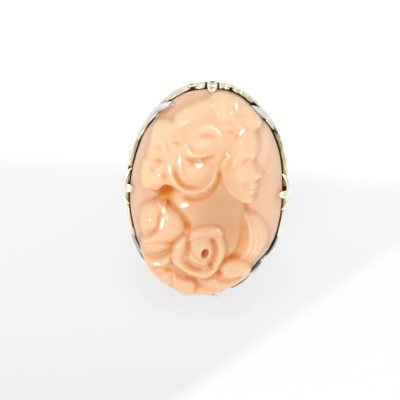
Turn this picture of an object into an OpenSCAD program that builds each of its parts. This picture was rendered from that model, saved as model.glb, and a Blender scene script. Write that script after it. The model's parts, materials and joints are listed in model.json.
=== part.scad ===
// Ring with a carved oval cameo in a pierced basket setting, in millimetres.
// It is drawn worn: the finger runs along Y, the cameo faces +Z, and the centre of the
// finger hole is at the origin. The last step lays it on its side, at rest on a flat surface.

/* [Shank] */
// Inside diameter of the shank
finger_d = 17.3; // [16.9:0.1:18.1]
// Thickness of the shank in the middle of its width
band_t = 1.5; // [1.3:0.1:1.8]
// Thickness of the shank at its two edges
band_edge_t = 1.1; // [0.9:0.1:1.2]
// Width of the shank behind the finger
band_back_w = 2.4; // [2:0.1:3]
// Width of the shank where it joins the basket
band_front_w = 6; // [5.4:0.1:6.6]
// Angle above the finger's middle at which the shank leaves the finger for the basket
shoulder_a = 35; // [32:1:38]

/* [Cameo] */
// Length of the cameo, along the finger
cameo_l = 25; // [24.4:0.1:25.6]
// Width of the cameo, across the finger
cameo_w = 18; // [17.6:0.1:18.4]
// Height of the plain edge of the cameo
girdle_h = 1.4; // [1.2:0.1:1.7]
// Rise of the cameo's ground from its edge to its middle
dome_h = 1.2; // [0.8:0.1:1.5]
// Height of the carving, against the heights in its tables
relief_scale = 1; // [0.7:0.05:1.15]
// Rings of points from the middle of the cameo to its edge
cameo_rings = 34; // [20:2:36]

/* [Basket] */
// Height of the cameo's seat above the finger
basket_h = 3.7; // [3.4:0.1:4.4]
// Thickness of the basket's wall
wall_t = 0.8; // [0.7:0.05:0.9]
// Width of the rim around the cameo
rim_w = 0.8; // [0.7:0.05:0.85]
// Height of the rim above the cameo's seat
rim_h = 1.35; // [1.1:0.05:1.35]
// Space between the cameo and all that holds it
seat_gap = 0.1; // [0.06:0.02:0.14]
// Arches pierced along each side of the basket
side_arches = 8; // [6:2:8]
// Arches pierced round each end of the basket
end_arches = 4; // [2:2:4]
// Width of a pierced arch
arch_w = 1.4; // [1:0.1:1.6]
// Width of the round holes above and between the arches
eyelet_d = 0.6; // [0.4:0.1:0.7]

/* [Prongs] */
// Length of a fleur prong's claw, from the rim's outside to its tip
claw_l = 1.3; // [1.2:0.05:1.4]
// Width of a fleur prong's claw
claw_w = 1.0; // [0.8:0.1:1.2]
// Length of a fleur prong's side petal
petal_l = 2.2; // [2:0.1:2.4]
// Length of a leaf prong
leaf_l = 3.8; // [3.2:0.1:4.2]
// Width of a leaf prong
leaf_w = 1.1; // [0.9:0.1:1.3]
// Angle between a leaf prong and the fleur prong at the end of the oval
leaf_a = 50; // [46:1:54]

/* [Hidden] */
$fn = 72;

finger_r = finger_d / 2;
band_edge_r = finger_r + band_edge_t;
band_crown_r = finger_r + band_t;

// The outside of the shank is domed across its width, with this radius.
band_rise = band_t - band_edge_t;
band_dome_r = (pow(band_front_w / 2, 2) + band_rise * band_rise) / (2 * band_rise);
back_half_w = band_back_w / 2;
back_edge_r = band_crown_r - band_dome_r + sqrt(pow(band_dome_r, 2) - pow(back_half_w, 2));

// The outline is a four-centre oval: two end arcs and two side arcs, tangent where they meet.
half_l = cameo_l / 2;
half_w = cameo_w / 2;
end_r = 0.56 * half_l;
end_y = half_l - end_r;
side_r = (half_w + end_r + end_y * end_y / (half_w - end_r)) / 2;
side_x = side_r - half_w;
joint_a = atan2(end_y, side_x);

// Heights above the finger hole's centre
seat_z = finger_r + basket_h;
cameo_z = seat_z + seat_gap;
girdle_z = cameo_z + girdle_h;
rim_z = seat_z + rim_h;
rim_low_z = seat_z + 0.1;
basket_z = finger_r - 1.4;
arch_z = finger_r + 1.15;
arch_h = 2;

// Offsets from the cameo's outline, outwards
rim_in = seat_gap;
rim_out = rim_in + rim_w;
wall_top = 0.15;
wall_low = -3.1;
seat_in = -0.95;
seat_t = 0.45;

// Four ribs join the basket's arcs. The arcs stop this angle short of the joints.
rib_w = 0.7;
rib_gap_a = 0.6;
eyelet_z = seat_z - seat_t - 0.1 - eyelet_d / 2;

// The basket stays clear of the finger, so that only the shank bears on it.
finger_clear_r = finger_r + 0.25;
band_open_x = half_w + wall_low - wall_t + 0.15;

// The petals of the fleur prong at the foot end carry the ring when it lies down.
petal_w = 0.8;
petal_turn = 42;
petal_x = 1.3;
petal_z = rim_z - 0.95;
petal_t = 0.6;
petal_out = rim_out + 0.15;
foot_y = half_l + petal_out;
foot_z = petal_z - petal_l / 2 * sin(petal_turn);
rest_tilt = atan2(foot_y - back_half_w, foot_z + back_edge_r);
floor_h = foot_y * cos(rest_tilt) - foot_z * sin(rest_tilt);
// The lying ring is centred over the origin, front to back: its front is the top of the
// carving at the foot end, its back is the shank's edge behind the finger.
foot_top = [0.92 * half_l, girdle_z + 2.9 * relief_scale];
front_y = -foot_top.x * sin(rest_tilt) - foot_top.y * cos(rest_tilt);
back_y = back_half_w * sin(rest_tilt) + back_edge_r * cos(rest_tilt);
rest_shift = -(front_y + back_y) / 2;

// Middle of the foot end, where the carving reaches the cameo's edge, in degrees
foot_a = 255;
// Half angle and depth of the notch that the carving leaves for the foot end's claw
notch_a = 3.6;
notch_d = 0.45;

// Carved masses, smoothly domed ellipses on the cameo's ground.
// x, y: centre; rx, ry: half axes; turn: degrees; h: height
masses = [
    // x,    y,    rx,  ry,  turn, h
    [-0.8,  5.4,  5.4, 6.0,   15, 2.9], // hair over the crown
    [ 1.9,  8.0,  3.6, 3.0,  -20, 2.3], // hair over the brow
    [-4.2,  8.2,  2.6, 2.0,   40, 1.6], // lock at the upper back
    [-5.9,  5.4,  2.3, 2.5,    0, 2.1], // curl at the back
    [-6.2,  1.6,  2.3, 2.7,    0, 2.3], // knot of hair
    [-0.6,  1.6,  4.4, 3.0,   -5, 2.7], // long roll of hair
    [ 3.0,  3.6,  3.3, 5.6,   -5, 2.3], // side of the face
    [ 2.9,  1.0,  3.1, 2.8,  -10, 2.1], // jaw
    [ 5.8,  3.0,  1.5, 1.1,  -30, 1.9], // nose
    [ 5.4,  1.2,  1.2, 0.9,    0, 1.9], // lips
    [ 5.1, -0.1,  1.3, 1.1,    0, 2.0], // chin
    [ 1.4, -2.8,  3.4, 5.0,   -8, 1.9], // neck
    [-1.4, -3.2,  4.2, 2.6,   10, 1.6], // shoulder
    [ 2.4, -6.4,  4.4, 3.4,    0, 1.5], // bust
    [ 5.6, -5.2,  2.4, 4.0,   20, 1.6], // drapery
    [-5.0, -4.5,  3.2, 2.9,   15, 3.3], // rosebud
    [-6.8, -7.6,  2.2, 2.1,   40, 2.4], // leaf under the bud
    [-4.8, -9.6,  2.8, 2.1,  -40, 2.8], // lower leaf
    [-2.0,-11.2,  2.8, 1.9,  -15, 2.8], // foot leaf
    [ 1.5,-11.5,  2.8, 1.7,   10, 2.5], // foot leaf
    [ 4.4, -9.0,  2.7, 1.6,   35, 1.9], // leaf beside the rose
];

// Carved locks and folds: round-backed bars along an arc, raised above what they lie on.
// x, y: the arc's centre; radius; from, to: degrees; r: half width; h: rise
locks = [
    // x,   y,   radius, from, to,  r,   h
    [-1.5,  2.6,  3.1,   185,  355, 1.1, 0.7], // edge of the long roll
    [-0.9,  5.6,  3.0,   180,  330, 0.8, 0.5], // lock above the roll
    [-0.8,  5.9,  1.6,   150,  390, 0.8, 0.7], // inner curl
    [-1.2,  6.2,  4.3,    40,  165, 0.9, 0.5], // lock round the crown
    [-0.8,  6.0,  3.0,    20,  140, 0.7, 0.5], // wave over the crown
    [-6.2,  1.7,  1.3,     0,  360, 0.9, 0.6], // coil of the knot
    [-5.9,  5.6,  1.2,    40,  320, 0.9, 0.6], // coil of the back curl
    [-2.4,  0.4,  2.8,   215,  300, 0.8, 0.6], // strand on the shoulder
    [-6.1, -4.6,  2.0,   -70,   95, 0.9, 0.5], // outer petal of the bud
    [-5.6, -4.3,  0.9,    20,  250, 0.6, 0.4], // inner petal of the bud
    [ 0.6, -4.6,  4.4,   -38,   25, 0.6, 0.6], // folds of drapery
    [ 0.6, -4.6,  5.6,   -38,   20, 0.6, 0.6],
    [ 0.6, -4.6,  6.8,   -30,   12, 0.6, 0.6],
];

// Carved flowers: an outer and an inner ring of petals round a pit.
// x, y: centre; r: radius; h: height; petals: count in a ring; pit: radius; depth
flowers = [
    // x,   y,    r,   h,  petals, pit, depth
    [ 2.4,  9.6,  2.1, 2.8, 5, 0.7, 0.7], // flower in the hair
    [ 0.1, -7.2,  3.6, 3.9, 5, 0.8, 1.6], // open rose
];

// The petals of a flower, as masses
function petals(f) = [
    for (ring = [[0.58, 0.5, 0.62, 0], [0.27, 0.38, 0.5, 36]]) for (i = [1 : f[4]])
        let (a = i * 360 / f[4] + ring[3])
        [f[0] + ring[0] * f[2] * cos(a), f[1] + ring[0] * f[2] * sin(a),
         ring[1] * f[2], ring[2] * f[2], a, f[3] * (1.06 - 0.35 * ring[0])]];

all_masses = concat(masses, [for (f = flowers) each petals(f)]);

// The higher of two heights, with the valley between them filled to a round of this size
blend = 0.5;

function soft_max(a, b) =
    let (k = min(blend, 2 * min(a, b)), h = k <= 0 ? 0 : max(k - abs(a - b), 0) / k)
    max(a, b) + h * h * k / 4;

function soft_max_all(v, i = 0, top = 0) =
    i == len(v) ? top : soft_max_all(v, i + 1, soft_max(top, v[i]));

function turned(p, a) = [p.x * cos(a) + p.y * sin(a), p.y * cos(a) - p.x * sin(a)];

// Height of a dome at the share d of the way to its edge
function dome(d) = d < 1 ? pow(1 - d * d, 0.8) : 0;

function mass_height(p, m) =
    let (q = turned(p - [m[0], m[1]], m[4])) m[5] * dome(norm([q.x / m[2], q.y / m[3]]));

// Distance to an arc: along its radius between its ends, and to the nearer end beyond them
function lock_height(p, s) =
    let (q = p - [s[0], s[1]], mid = (s[3] + s[4]) / 2, half = (s[4] - s[3]) / 2,
         turn = atan2(q.y, q.x) - mid, away = turn - 360 * round(turn / 360),
         near = mid + min(max(away, -half), half))
    s[6] * dome(norm(q - s[2] * [cos(near), sin(near)]) / s[5]);

function pit_depth(p, f) = let (d = norm(p - [f[0], f[1]]) / f[5]) f[6] * dome(d);

// Distance from the middle to the outline, in the direction a
function outline_r(a) =
    let (c = abs(cos(a)), t = abs(sin(a)),
         on_end = t * end_y + sqrt(end_r * end_r - pow(c * end_y, 2)),
         on_side = sqrt(side_r * side_r - pow(t * side_x, 2)) - c * side_x)
    atan2(on_end * t - end_y, on_end * c) > joint_a ? on_end : on_side;

// Share of the carving left at the depth d inwards from the edge, in the direction a. It fades
// to nothing at the edge, late at the foot end, and it leaves a notch for the claw there.
function edge_share(d, a) =
    let (foot = min(1, 4 * max(0, cos(a - foot_a) - 0.7)), run = 1.4 - 1.15 * foot,
         notch = abs(a - 270) < notch_a ? notch_d : 0,
         t = min(1, max(0, d - notch) / run)) t * (2 - t);

function relief_height(p) =
    soft_max_all([for (m = all_masses) mass_height(p, m)])
    + max([for (s = locks) lock_height(p, s)])
    - pit_depth(p, flowers[0]) - pit_depth(p, flowers[1]);

// Point of the cameo's face at the share q of the way to its edge, in the direction a
function face_point(q, a) =
    let (r = outline_r(a), p = q * r * [cos(a), sin(a)],
         ground = girdle_z + dome_h * pow(1 - q * q, 0.8))
    [p.x, p.y, ground + relief_scale * relief_height(p) * edge_share((1 - q) * r, a)];

// The face is a net of rings, ring i with 8 i points, so that its triangles are much alike
// from the middle to the edge. ring_start gives the number of a ring's first point.
function ring_start(i) = 1 + 4 * i * (i - 1);

function ring_point(i, k) = ring_start(i) + k % (8 * i);

module cameo_solid() {
    n = cameo_rings;
    face = [[0, 0, face_point(0, 0).z],
            for (i = [1 : n]) for (k = [0 : 8 * i - 1]) face_point(i / n, k * 45 / i)];
    back = [for (k = [0 : 8 * n - 1]) let (p = face_point(1, k * 45 / n)) [p.x, p.y, cameo_z]];
    middle = [for (k = [0 : 7]) [0, ring_point(1, k + 1), ring_point(1, k)]];
    wide = [for (i = [1 : n - 1]) for (s = [0 : 7]) for (k = [0 : i])
            [ring_point(i, s * i + k), ring_point(i + 1, s * (i + 1) + k + 1),
             ring_point(i + 1, s * (i + 1) + k)]];
    narrow = [for (i = [1 : n - 1]) for (s = [0 : 7]) for (k = [0 : i - 1])
              [ring_point(i, s * i + k), ring_point(i, s * i + k + 1),
               ring_point(i + 1, s * (i + 1) + k + 1)]];
    first = len(face);
    girdle = [for (k = [0 : 8 * n - 1]) let (t = (k + 1) % (8 * n))
              [ring_point(n, k), ring_point(n, t), first + t, first + k]];
    floor_face = [[for (k = [0 : 8 * n - 1]) first + k]];
    polyhedron(concat(face, back), concat(middle, wide, narrow, girdle, floor_face),
               convexity = 8);
}

// The outline's four arcs, swept with one profile. They stop short of each other by part of
// a rib's width.
module sweep_oval() {
    end_a = 180 - 2 * joint_a - 2 * rib_gap_a;
    side_a = 2 * joint_a - rib_gap_a;
    for (s = [0, 1]) {
        mirror([0, s, 0]) translate([0, end_y, 0]) rotate([0, 0, 90 - end_a / 2])
            rotate_extrude(angle = end_a, $fn = 96) translate([end_r, 0]) children();
        mirror([s, 0, 0]) translate([-side_x, 0, 0]) rotate([0, 0, -side_a / 2])
            rotate_extrude(angle = side_a, $fn = 192) translate([side_r, 0]) children();
    }
}

// Places children on the outline, at the angle a about the nearest arc's centre: X runs
// outwards from the outline, Y along it.
module on_side(a) {
    translate([-side_x, 0, 0]) rotate([0, 0, a]) translate([side_r, 0, 0]) children();
}

module on_end(a) {
    translate([0, end_y, 0]) rotate([0, 0, 90 + a]) translate([end_r, 0, 0]) children();
}

// Pointed oval of length l along X and width w, as two arcs
module lens(l, w) {
    r = (l * l / 4 + w * w / 4) / w;
    intersection() {
        translate([0, r - w / 2]) circle(r);
        translate([0, w / 2 - r]) circle(r);
    }
}

// Section of the rim, the seat's ledge and the flaring wall, with each face moved out by grow
module basket_section(grow = 0) {
    polygon([
        // offset, height, way that the corner moves as the section grows
        for (c = [
            [wall_low - wall_t, basket_z, -1, -1],
            [wall_low, basket_z, 1, -1],
            [wall_low + 0.65, finger_r + 0.9, 1, 0],
            [wall_low + 1.75, finger_r + 2.4, 1, 0],
            [wall_top, rim_low_z - 0.35, 1, 0],
            [rim_out - 0.15, rim_low_z, 1, -1],
            [rim_out, rim_low_z + 0.2, 1, 0],
            [rim_out, rim_z - 0.2, 1, 0],
            [rim_out - 0.2, rim_z, 1, 1],
            [rim_in, rim_z, -1, 1],
            [rim_in, seat_z, -1, 1],
            [seat_in, seat_z, -1, 1],
            [seat_in, seat_z - seat_t, -1, -1],
            [wall_top - wall_t - 0.15, seat_z - seat_t, -1, -1],
            [wall_low + 1.75 - wall_t, finger_r + 2.2, -1, 0],
            [wall_low + 0.65 - wall_t, finger_r + 0.9, -1, 0],
        ]) [c[0] + grow * c[2], c[1] + grow * c[3]]
    ]);
}

// Rib that joins an end arc to a side arc, on the line where the two arcs meet
module joint_rib() {
    translate([0, end_y, 0]) rotate([0, 0, joint_a]) translate([end_r, 0, 0])
        rotate([90, 0, 0]) linear_extrude(rib_w, center = true) basket_section(0.04);
}

// Cuts outwards through the wall, X being the way out
module cut_out() {
    translate([-4, 0, 0]) rotate([90, 0, 90]) linear_extrude(5) children();
}

module arch() {
    cut_out() {
        translate([-arch_w / 2, arch_z]) square([arch_w, arch_h - arch_w / 2]);
        translate([0, arch_z + arch_h - arch_w / 2]) circle(arch_w / 2, $fn = 32);
    }
}

module eyelet() {
    cut_out() translate([0, eyelet_z]) circle(eyelet_d / 2, $fn = 24);
}

module basket_arcs() {
    side_step = 2 * joint_a / side_arches;
    end_step = (180 - 2 * joint_a) / end_arches;
    difference() {
        sweep_oval() basket_section();
        for (s = [0, 1]) {
            mirror([s, 0, 0]) {
                for (i = [1 : side_arches]) on_side((i - 0.5) * side_step - joint_a) arch();
                for (i = [1 : side_arches - 1]) on_side(i * side_step - joint_a) eyelet();
            }
            mirror([0, s, 0]) {
                for (i = [1 : end_arches]) on_end((i - 0.5) * end_step + joint_a - 90) arch();
                for (i = [1 : end_arches - 1]) on_end(i * end_step + joint_a - 90) eyelet();
            }
        }
    }
}

module basket() {
    difference() {
        union() {
            basket_arcs();
            for (s = [0, 1]) for (t = [0, 1]) mirror([s, 0, 0]) mirror([0, t, 0]) joint_rib();
        }
        rotate([90, 0, 0]) cylinder(r = finger_clear_r, h = 2 * cameo_l, center = true, $fn = 144);
    }
}

// Cylinder across the shank that hollows its edge, from its width at the back to the front
module band_side() {
    r = 80;
    back = [back_half_w, -back_edge_r];
    front = [band_front_w / 2, finger_r];
    chord = front - back;
    along = norm(chord);
    out = [chord.y, -chord.x] / along;
    centre = (back + front) / 2 + out * sqrt(r * r - along * along / 4);
    translate([0, centre.x, centre.y]) rotate([0, 90, 0])
        cylinder(r = r, h = 4 * finger_d, center = true, $fn = 480);
}

// Section of the shank: flat sides and a domed outside
module band_section() {
    intersection() {
        translate([finger_r - 0.4, -band_front_w / 2]) square([band_t + 0.4, band_front_w]);
        translate([band_crown_r - band_dome_r, 0]) circle(band_dome_r, $fn = 144);
    }
}

// Web that carries the shank into the basket's wall, seen along the finger. Its outside is a
// hollow arc that leaves the shank as a tangent and reaches the wall under the arches' feet.
module shoulder_section() {
    leave = [cos(shoulder_a), sin(shoulder_a)];
    reach = [half_w - 2.45, arch_z - 0.15];
    r0 = band_edge_r + 0.1;
    r = (reach * reach + r0 * r0 - 2 * r0 * (reach * leave)) / (2 * (reach * leave) - 2 * r0);
    difference() {
        polygon([
            [band_open_x, finger_r - 1.6],
            [band_open_x, finger_r + 0.4],
            [reach.x - 0.5, reach.y],
            [reach.x + 0.6, reach.y],
            leave * (r0 + r / 3),
            leave * (r0 - 0.3),
        ]);
        translate(leave * (r0 + r)) circle(r, $fn = 192);
    }
}

module shank() {
    difference() {
        union() {
            difference() {
                rotate([90, 0, 0]) rotate_extrude($fn = 192) band_section();
                translate([-band_open_x, -cameo_l / 2, 0])
                    cube([2 * band_open_x, cameo_l, 2 * finger_d]);
            }
            for (s = [0, 1]) mirror([s, 0, 0]) rotate([90, 0, 0])
                linear_extrude(band_front_w, center = true) shoulder_section();
        }
        for (s = [0, 1]) mirror([0, s, 0]) band_side();
    }
}

module finger_bore() {
    rotate([90, 0, 0]) cylinder(r = finger_r, h = 2 * cameo_l, center = true, $fn = 192);
}

// Fleur prong: a stem on the rim, a claw over the cameo's edge and a petal on each side
module fleur_prong() {
    stem_h = 2;
    claw_out = rim_out + 0.1;
    claw_in = claw_out - claw_l;
    over_edge = girdle_z + seat_gap;
    translate([claw_out - 0.4, 0, rim_z - 0.5]) rotate([0, 90, 0])
        linear_extrude(0.4) lens(stem_h, claw_w);
    translate([0, claw_w / 2, 0]) rotate([90, 0, 0]) linear_extrude(claw_w) polygon([
        [claw_out - 0.5, rim_z - 0.5],
        [claw_out, rim_z - 0.5],
        [claw_out, rim_z + 0.35],
        [claw_out - 0.3, rim_z + 0.7],
        [rim_in, over_edge + 0.65],
        [claw_in, over_edge + 0.5],
        [claw_in, over_edge + 0.15],
        [rim_in / 2, over_edge],
        [rim_in + 0.05, rim_z + 0.05],
        [rim_in + 0.15, rim_z - 0.3],
    ]);
    for (s = [-1, 1]) {
        translate([petal_out - petal_t, s * petal_x, petal_z]) rotate([90, 0, 90])
            linear_extrude(petal_t) rotate([0, 0, -s * petal_turn]) lens(petal_l, petal_w);
        translate([rim_out - 0.45, s * petal_x, rim_z - 0.1])
            linear_extrude(0.4) rotate([0, 0, 90 - s * 25]) lens(petal_l * 0.8, petal_w);
    }
}

// Leaf prong: a pointed leaf along the rim, its tip turned in over the cameo's edge
module leaf_prong() {
    tip_turn = 17;
    translate([rim_out / 2 + 0.2, 0, rim_z - 0.25]) rotate([0, 0, 90 + tip_turn])
        linear_extrude(0.75) lens(leaf_l, leaf_w);
}

module setting_worn() {
    difference() {
        union() {
            basket();
            shank();
            for (s = [0, 1]) {
                mirror([0, s, 0]) on_end(0) fleur_prong();
                mirror([s, 0, 0]) {
                    on_side(0) fleur_prong();
                    for (t = [0, 1]) mirror([0, t, 0]) on_end(-leaf_a) leaf_prong();
                }
            }
        }
        finger_bore();
    }
}

// Lays the ring on its side: the foot end's petals and the back of the shank touch Z = 0.
module laid_down() {
    translate([0, rest_shift, floor_h]) rotate([90 - rest_tilt, 0, 0]) children();
}

module cameo() {
    color("lightsalmon") laid_down() cameo_solid();
}

module setting() {
    color("palegoldenrod") laid_down() setting_worn();
}

cameo();
setting();
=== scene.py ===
import json
import math

import bpy
import numpy as np
from mathutils import Matrix, Vector


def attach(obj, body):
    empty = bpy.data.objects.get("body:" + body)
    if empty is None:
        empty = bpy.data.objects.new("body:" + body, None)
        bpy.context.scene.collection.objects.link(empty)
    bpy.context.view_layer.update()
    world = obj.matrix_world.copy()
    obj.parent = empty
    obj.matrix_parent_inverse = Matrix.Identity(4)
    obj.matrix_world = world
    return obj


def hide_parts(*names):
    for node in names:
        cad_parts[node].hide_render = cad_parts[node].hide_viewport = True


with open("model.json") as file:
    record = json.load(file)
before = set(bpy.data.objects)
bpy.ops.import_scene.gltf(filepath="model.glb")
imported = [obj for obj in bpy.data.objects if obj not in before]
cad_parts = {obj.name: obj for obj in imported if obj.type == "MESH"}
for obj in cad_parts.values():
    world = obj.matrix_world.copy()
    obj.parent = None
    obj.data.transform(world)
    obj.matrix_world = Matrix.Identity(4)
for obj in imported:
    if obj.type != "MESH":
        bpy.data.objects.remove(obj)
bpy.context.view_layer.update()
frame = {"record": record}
print("frame loaded")

# The ring is shaped as worn, in millimetres: X across the finger, Y along it, Z out to the cameo,
# from the middle of the finger hole. The record's finger hole says where that lies in the scene.
mm = 0.001      # in the scene's metres
fingerHole = frame["record"]["mounts"][0]
hub = np.array(fingerHole["pos_m"])
fingerR = fingerHole["dims"]["r_mm"]
across = np.array([1.0, 0.0, 0.0])
alongFinger = np.array(fingerHole["axis"])
outwards = np.cross(across, alongFinger)


def placed(points):
    # from the worn ring's millimetres to the scene's metres
    p = np.asarray(points, float)
    return hub + mm * (p[..., :1] * across + p[..., 1:2] * alongFinger + p[..., 2:3] * outwards)


def smoothStep(t):
    t = np.clip(t, 0, 1)
    return t * t * (3 - 2 * t)


def smoothMax(a, b, k=0.25):
    # the higher of two, with a fillet of about this width where they meet
    h = np.maximum(k - np.abs(a - b), 0) / k
    return np.maximum(a, b) + h * h * k / 4


def roundEdge(depth, width):
    # from 0 at an edge to 1 at this width inwards, as a quarter of an ellipse
    t = np.clip(depth / width, 0, 1)
    return np.sqrt(t * (2 - t))


# The stone's oval is four arcs: two wide ones at the sides and two round the ends.
stone = {
    "length": 25.0, "width": 18.0, "endShare": 0.28,        # radius of the ends by the length
    "backZ": 12.45, "girdleZ": 13.85, "bevel": 0.12, "dome": 1.2, "domePower": 0.8,
    # how much further the stone and the leaves reach out, for places in millimetres along the rim
    "reachOut": (
        (0, 0), (2, 0.02), (3.4, 0.1), (5.1, 0.25), (6.8, 0.34), (8.5, 0.36), (10.2, 0.15), (11.9, 0.1),
        (13.6, 0.22), (15.3, 0.18), (17, 0), (18.7, 0.03), (20.4, 0.13), (22.1, 0.15), (23.8, 0.06),
        (25.5, 0.12), (27.2, 0.22), (28.9, 0.08), (30.6, 0), (38.5, 0), (39.5, 0.06), (41, 0.18),
        (42.5, 0.26), (48, 0.24), (50, 0.1), (52, 0), (54.4, -0.05), (56.1, -0.2), (57.8, -0.14),
        (59.5, -0.1), (61.2, 0.22), (63, 0.26), (64.6, 0.15), (66.3, 0.05), (67.87, 0)),
}
endR = stone["endShare"] * stone["length"]
endY = stone["length"] / 2 - endR
sideR = (stone["width"] / 2 + endR + endY**2 / (stone["width"] / 2 - endR)) / 2
sideX = sideR - stone["width"] / 2
jointAngle = math.atan2(endY, sideX)        # where a side's arc meets an end's
sideRun = jointAngle * sideR                # along the rim from the middle of a side to there
quarter = sideRun + (math.pi / 2 - jointAngle) * endR
whole = 4 * quarter


def outlineRadius(angle):
    # distance from the middle to the oval's edge, in the direction of the angle
    c, s = np.abs(np.cos(angle)), np.abs(np.sin(angle))
    onEnd = s * endY + np.sqrt(np.maximum(endR**2 - (c * endY) ** 2, 0))
    onSide = np.sqrt(sideR**2 - (s * sideX) ** 2) - c * sideX
    return np.where(np.arctan2(onEnd * s - endY, onEnd * c) > jointAngle, onEnd, onSide)


def onOval(s):
    # point on the oval and the way outwards, s millimetres along it from +X towards +Y
    s = np.asarray(s, float) % whole
    part = (s // quarter).astype(int)
    a = s - part * quarter
    a = np.where(part % 2 == 0, a, quarter - a)
    turn = np.where(a < sideRun, a / sideR, jointAngle + (a - sideRun) / endR)
    x = np.where(a < sideRun, sideR * np.cos(turn) - sideX, endR * np.cos(turn))
    y = np.where(a < sideRun, sideR * np.sin(turn), endY + endR * np.sin(turn))
    signX = np.where((part == 1) | (part == 2), -1, 1)
    signY = np.where(part >= 2, -1, 1)
    out = np.stack([signX * np.cos(turn), signY * np.sin(turn)], -1)
    return np.stack([signX * x, signY * y], -1), out


def alongOval(s, offset, z):
    # s, offset and z of any one shape, as points of the worn ring
    s, offset, z = np.broadcast_arrays(np.asarray(s, float), offset, z)
    p, out = onOval(s)
    return np.concatenate([p + out * offset[..., None], z[..., None]], -1)


def furtherOut(s):
    return np.interp(np.asarray(s, float) % whole, *zip(*stone["reachOut"]))


def stoneEdge(angle):
    # the outline with that reach, all round
    s = np.linspace(0, whole, 721)
    p, _ = onOval(s)
    turn = np.unwrap(np.arctan2(p[:, 1], p[:, 0]))
    return outlineRadius(angle) + np.interp(angle % (2 * math.pi), turn, furtherOut(s))


def domeHeight(share):
    # of the ground above the stone's edge, by the share of the way out to it
    return stone["dome"] * np.clip(1 - share * share, 0, 1) ** stone["domePower"]


def curveBetween(a, b, c, d, t):
    # from b to c, in step with the points before and after them
    bend = (2 * a - 5 * b + 4 * c - d) * t * t + (3 * b - a - 3 * c + d) * t**3
    return 0.5 * (2 * b + (c - a) * t + bend)


def smoothPath(points, closed=False, parts=6):
    # a curve through the points, every point a row of any length
    p = np.array(points, float)
    n = len(p)
    if n < 3:
        return p
    out = []
    for i in range(n if closed else n - 1):
        order = (i - 1, i, i + 1, i + 2)
        four = [p[k % n] if closed else p[min(max(k, 0), n - 1)] for k in order]
        out += [curveBetween(*four, t) for t in np.arange(parts) / parts]
    out.append(p[0] if closed else p[-1])
    return np.array(out)


def nearPath(x, y, path):
    # distance to the path, share along it, and the side: above 0 to the left of its direction
    best = np.full(x.shape, 1e9)
    along = np.zeros(x.shape)
    side = np.zeros(x.shape)
    steps = np.hypot(*(path[1:, :2] - path[:-1, :2]).T)
    total = steps.sum()
    start = 0.0
    for (ax, ay), (bx, by), step in zip(path[:-1, :2], path[1:, :2], steps):
        if step < 1e-9:
            continue
        t = np.clip(((x - ax) * (bx - ax) + (y - ay) * (by - ay)) / step**2, 0, 1)
        far = np.hypot(x - ax - t * (bx - ax), y - ay - t * (by - ay))
        cross = (bx - ax) * (y - ay) - (by - ay) * (x - ax)
        nearer = far < best
        best = np.where(nearer, far, best)
        along = np.where(nearer, (start + t * step) / total, along)
        side = np.where(nearer, np.sign(cross), side)
        start += step
    return best, along, side


def insideDepth(x, y, path):
    # depth inside a closed curve, negative outside
    depth, _, _ = nearPath(x, y, path)
    inside = np.zeros(x.shape, bool)
    for (ax, ay), (bx, by) in zip(path[:-1, :2], path[1:, :2]):
        if ay == by:
            continue
        crosses = (ay > y) != (by > y)
        inside ^= crosses & (x < ax + (y - ay) * (bx - ax) / (by - ay))
    return np.where(inside, depth, -depth)


def blurred(grid, sigma):
    # Gaussian blur of a grid, sigma in cells
    reach = max(1, int(3 * sigma))
    weights = np.exp(-0.5 * (np.arange(-reach, reach + 1) / sigma) ** 2)
    weights /= weights.sum()
    out = grid
    for axis in (0, 1):
        padded = np.pad(out, [(reach, reach) if a == axis else (0, 0) for a in (0, 1)], mode="edge")
        n = grid.shape[axis]
        rows = [padded[i:i + n] if axis == 0 else padded[:, i:i + n] for i in range(len(weights))]
        out = sum(w * row for w, row in zip(weights, rows))
    return out


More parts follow.
